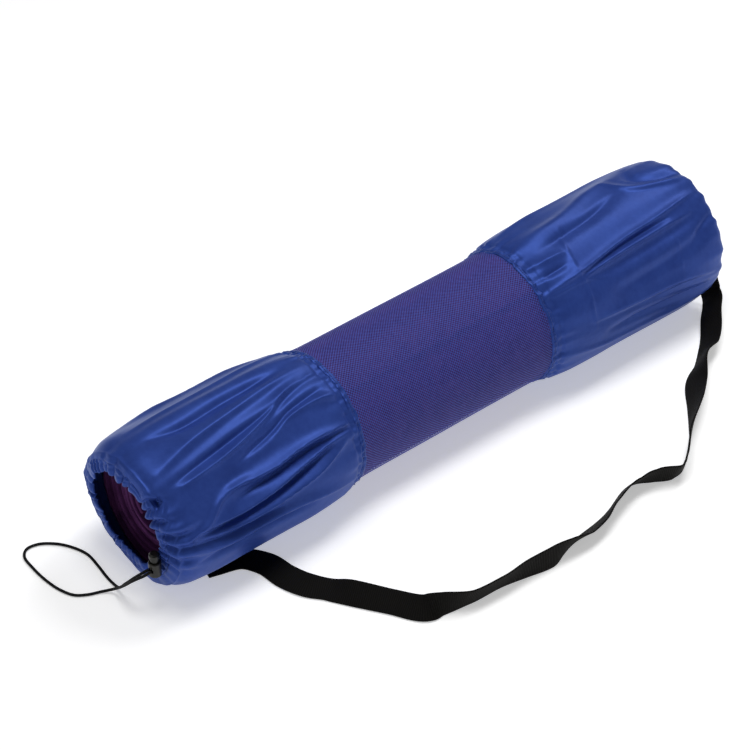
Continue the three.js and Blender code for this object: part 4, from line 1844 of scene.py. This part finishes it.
REAR_FOLDS = (
    Fold(((0.1, -42), (0.9, -40)), 0.4, 0.008),
    Fold(((0.02, -28), (0.5, -40), (0.9, -46)), 0.07, 0.02, 1.6),
    Fold(((0.04, -2), (0.32, -7), (0.55, -19), (0.7, -24)), 0.12, 0.035, 1.8),
    Fold(((0.14, 10), (0.29, 7), (0.44, 4), (0.62, -3)), 0.08, -0.035, 1.7, -0.3),
    Fold(((0.02, 43), (0.23, 40), (0.5, 34), (0.7, 32), (0.97, 27)), 0.042, 0.042, 1.2, 0.35),
    Fold(((0.23, 42.5), (0.45, 38), (0.74, 35.5)), 0.03, -0.035, 1.5),
    Fold(((0.2, 46), (0.3, 43.5), (0.58, 41), (0.86, 40)), 0.04, 0.035, 1.3, 0.4),
    Fold(((0.22, 50), (0.6, 48), (0.95, 44)), 0.09, -0.03, 1.8),
    Fold(((0.28, -1), (0.226, 18.6), (0.198, 41), (0.212, 51), (0.2, 72), (0.21, 87)), 0.02, 0.011, 1.2, 0.3),
    Fold(((-0.02, 47.4), (0.21, 47.5), (0.34, 53.5)), 0.02, 0.011, 1.2, 0.3),
    Fold(((0.66, 30), (0.74, 55), (0.72, 85)), 0.016, 0.005, 1.2, 0.3),
    Fold(((0.82, -26), (0.78, -10), (0.86, 1), (1.02, 6)), 0.07, -0.035, 1.8, 0.2),
    Fold(((0.66, -20), (0.7, -2), (0.84, 9), (1.0, 14)), 0.06, 0.03, 1.6, 0.3),
    Fold(((1.02, 46), (0.92, 52), (0.84, 58)), 0.05, -0.028, 1.6),
    Fold(((0.96, 56), (0.8, 62), (0.5, 66), (0.36, 66)), 0.09, -0.025),
    Fold(((0.97, 94), (0.75, 85), (0.47, 82), (0.2, 79)), 0.06, 0.028, 1.5, 0.4),
    Fold(((0.92, 104), (0.64, 98), (0.3, 95)), 0.07, -0.03, 1.6),
    Fold(((0.92, 112), (0.64, 112), (0.36, 109), (0.08, 101)), 0.06, 0.025, 1.5),
    Fold(((0.05, 20), (0.2, 21)), 0.05, 0.03, 1.5),
    Fold(((0.04, 31), (0.17, 30)), 0.045, -0.03, 1.5),
    Fold(((0.1, 250), (0.5, 247), (0.95, 236)), 0.1, 0.035, 1.5, 0.3),
    Fold(((0.05, 268), (0.5, 272), (0.95, 265)), 0.07, -0.035, 1.5),
    Fold(((0.1, 283), (0.6, 290), (0.95, 286)), 0.06, 0.03, 1.4, -0.3),
    Fold(((0.1, 295), (0.5, 305), (0.95, 312)), 0.1, -0.03, 1.6),
)
STRAP_ROUTE = tuple(
    StrapStop(*stop)
    for stop in (
        (-0.89, 0.122, 0.045, 86, 1),
        (-0.833, 0.145, 0.045, 78, 1),
        (-0.76, 0.185, 0.06, 50, 3),
        (-0.727, 0.275, 0.15, 15, 12),
        (-0.72, 0.385, 0.2, 6, 18),
        (-0.7, 0.47, 0.2, 14, 15),
        (-0.663, 0.54, 0.14, 36, 9),
        (-0.63, 0.63, 0.28, 27, 30),
        (-0.57, 0.76, 0.24, 33, 22),
        (-0.527, 0.872, 0.34, 34, 36),
        (-0.49, 0.913, 0.51, 66, 80),
        (-0.412, 0.958, 0.48, 86, 110),
        (-0.309, 0.97, 0.48, 92, 112),
        (-0.225, 0.98, 0.51, 94, 98),
        (-0.14, 0.996, 0.52, 94, 88),
        (-0.075, 0.988, 0.49, 88, 110),
        (0.005, 0.974, 0.38, 84, 136),
        (0.068, 0.96, 0.39, 79, 133),
        (0.135, 0.93, 0.45, 76, 122),
        (0.25, 0.882, 0.43, 84, 126),
        (0.31, 0.91, 0.45, 114, 120),
        (0.37, 0.951, 0.46, 116, 118),
        (0.408, 0.935, 0.49, 150, 104),
        (0.5, 0.838, 0.51, 140, 90),
        (0.576, 0.753, 0.49, 134, 108),
        (0.636, 0.68, 0.42, 130, 126),
        (0.708, 0.583, 0.32, 132, 145),
        (0.782, 0.506, 0.45, 135, 118),
        (0.853, 0.451, 0.34, 138, 140),
        (0.904, 0.394, 0.37, 138, 142),
        (0.95, 0.328, 0.59, 138, 140),
        (0.996, 0.27, 0.68, 134, 137),
        (1.014, 0.23, 0.76, 112, 130),
    )
)
CORD_POINTS = (
    (-357.3, -41.4, 48.7),
    (-362, -40, 47),
    (-366, -33, 39),
    (-366.5, -18, 21),
    (-365, -4, 5.6),
    (-363.4, 8, 1.9),
    (-362.5, 18, 1.8),
    (-359.5, 36, 1.8),
    (-358, 53, 1.8),
    (-362.5, 69, 1.8),
    (-371, 83, 1.8),
    (-384, 93.5, 1.8),
    (-396, 95, 1.8),
    (-403.5, 88, 1.8),
    (-406.5, 70, 1.8),
    (-407, 48, 1.8),
    (-404.5, 30, 1.8),
    (-399, 17, 1.8),
    (-389, 9.5, 1.8),
    (-378, 4.5, 2.2),
    (-370, -3.5, 6.2),
    (-370.5, -19, 21),
    (-369.8, -36, 39.5),
    (-363, -44.2, 47.2),
    (-357.3, -45, 48.7),
)


def report(piece: bpy.types.Object) -> None:
    """Log a finished piece."""
    LOG.info("%s: %d faces", piece.name, len(piece.data.polygons))


def main() -> None:
    """Build the scene, piece by piece."""
    logging.basicConfig(level=logging.INFO, format="%(name)s: %(message)s")
    bag = Bag.from_frame()
    PhotoCamera(bag).build()
    Drawcord(bag, CORD_POINTS).build()
    front = Sleeve(
        bag,
        "front_sleeve",
        Along.TO_MOUTH,
        FRONT_PROFILE,
        FRONT_FOLDS,
        Gathers(66, 2.3 * MM, 17 * MM, seed=2),
        MOUTH_GATHERS,
        Ripples(0.35 * MM, 11, (3, 12), 2.0),
        (0.49, 0.265),
        bed=0.0027,
    )
    rear = Sleeve(
        bag,
        "rear_sleeve",
        Along.TO_END,
        REAR_PROFILE,
        REAR_FOLDS,
        Gathers(64, 2.1 * MM, 16 * MM, seed=4),
        Gathers(44, 1.3 * MM, 30 * MM, seed=9),
        Ripples(0.35 * MM, 17, (3, 12), 2.0),
        (0.49, 0.235),
    )
    bands = {
        "front": SeamBand(bag, "front_seam", bag.front_seam, Along.TO_MOUTH, 31),
        "rear": SeamBand(bag, "rear_seam", bag.rear_seam, Along.TO_END, 37),
    }
    casing = MouthCasing(bag).build()
    trims = {side: [band.build(), band.build_stitches()] for side, band in bands.items()}
    for side, sleeve, more in (("front", front, [casing]), ("rear", rear, [])):
        piece = sleeve.build()
        trims[side] + more
        report(piece)
    net = Net(bag)
    piece = net.build()
    area = net.cover * net.flat[0] * net.flat[1]
    report(piece)
    mat = RolledMat(bag).build()
    report(mat)
    panel = EndPanel(bag).build()
    report(panel)
    strap = ShoulderStrap(bag, STRAP_ROUTE).build()
    report(strap)
    CordLock().dress()
    Studio(bag).build()


if __name__ == "__main__":
    main()
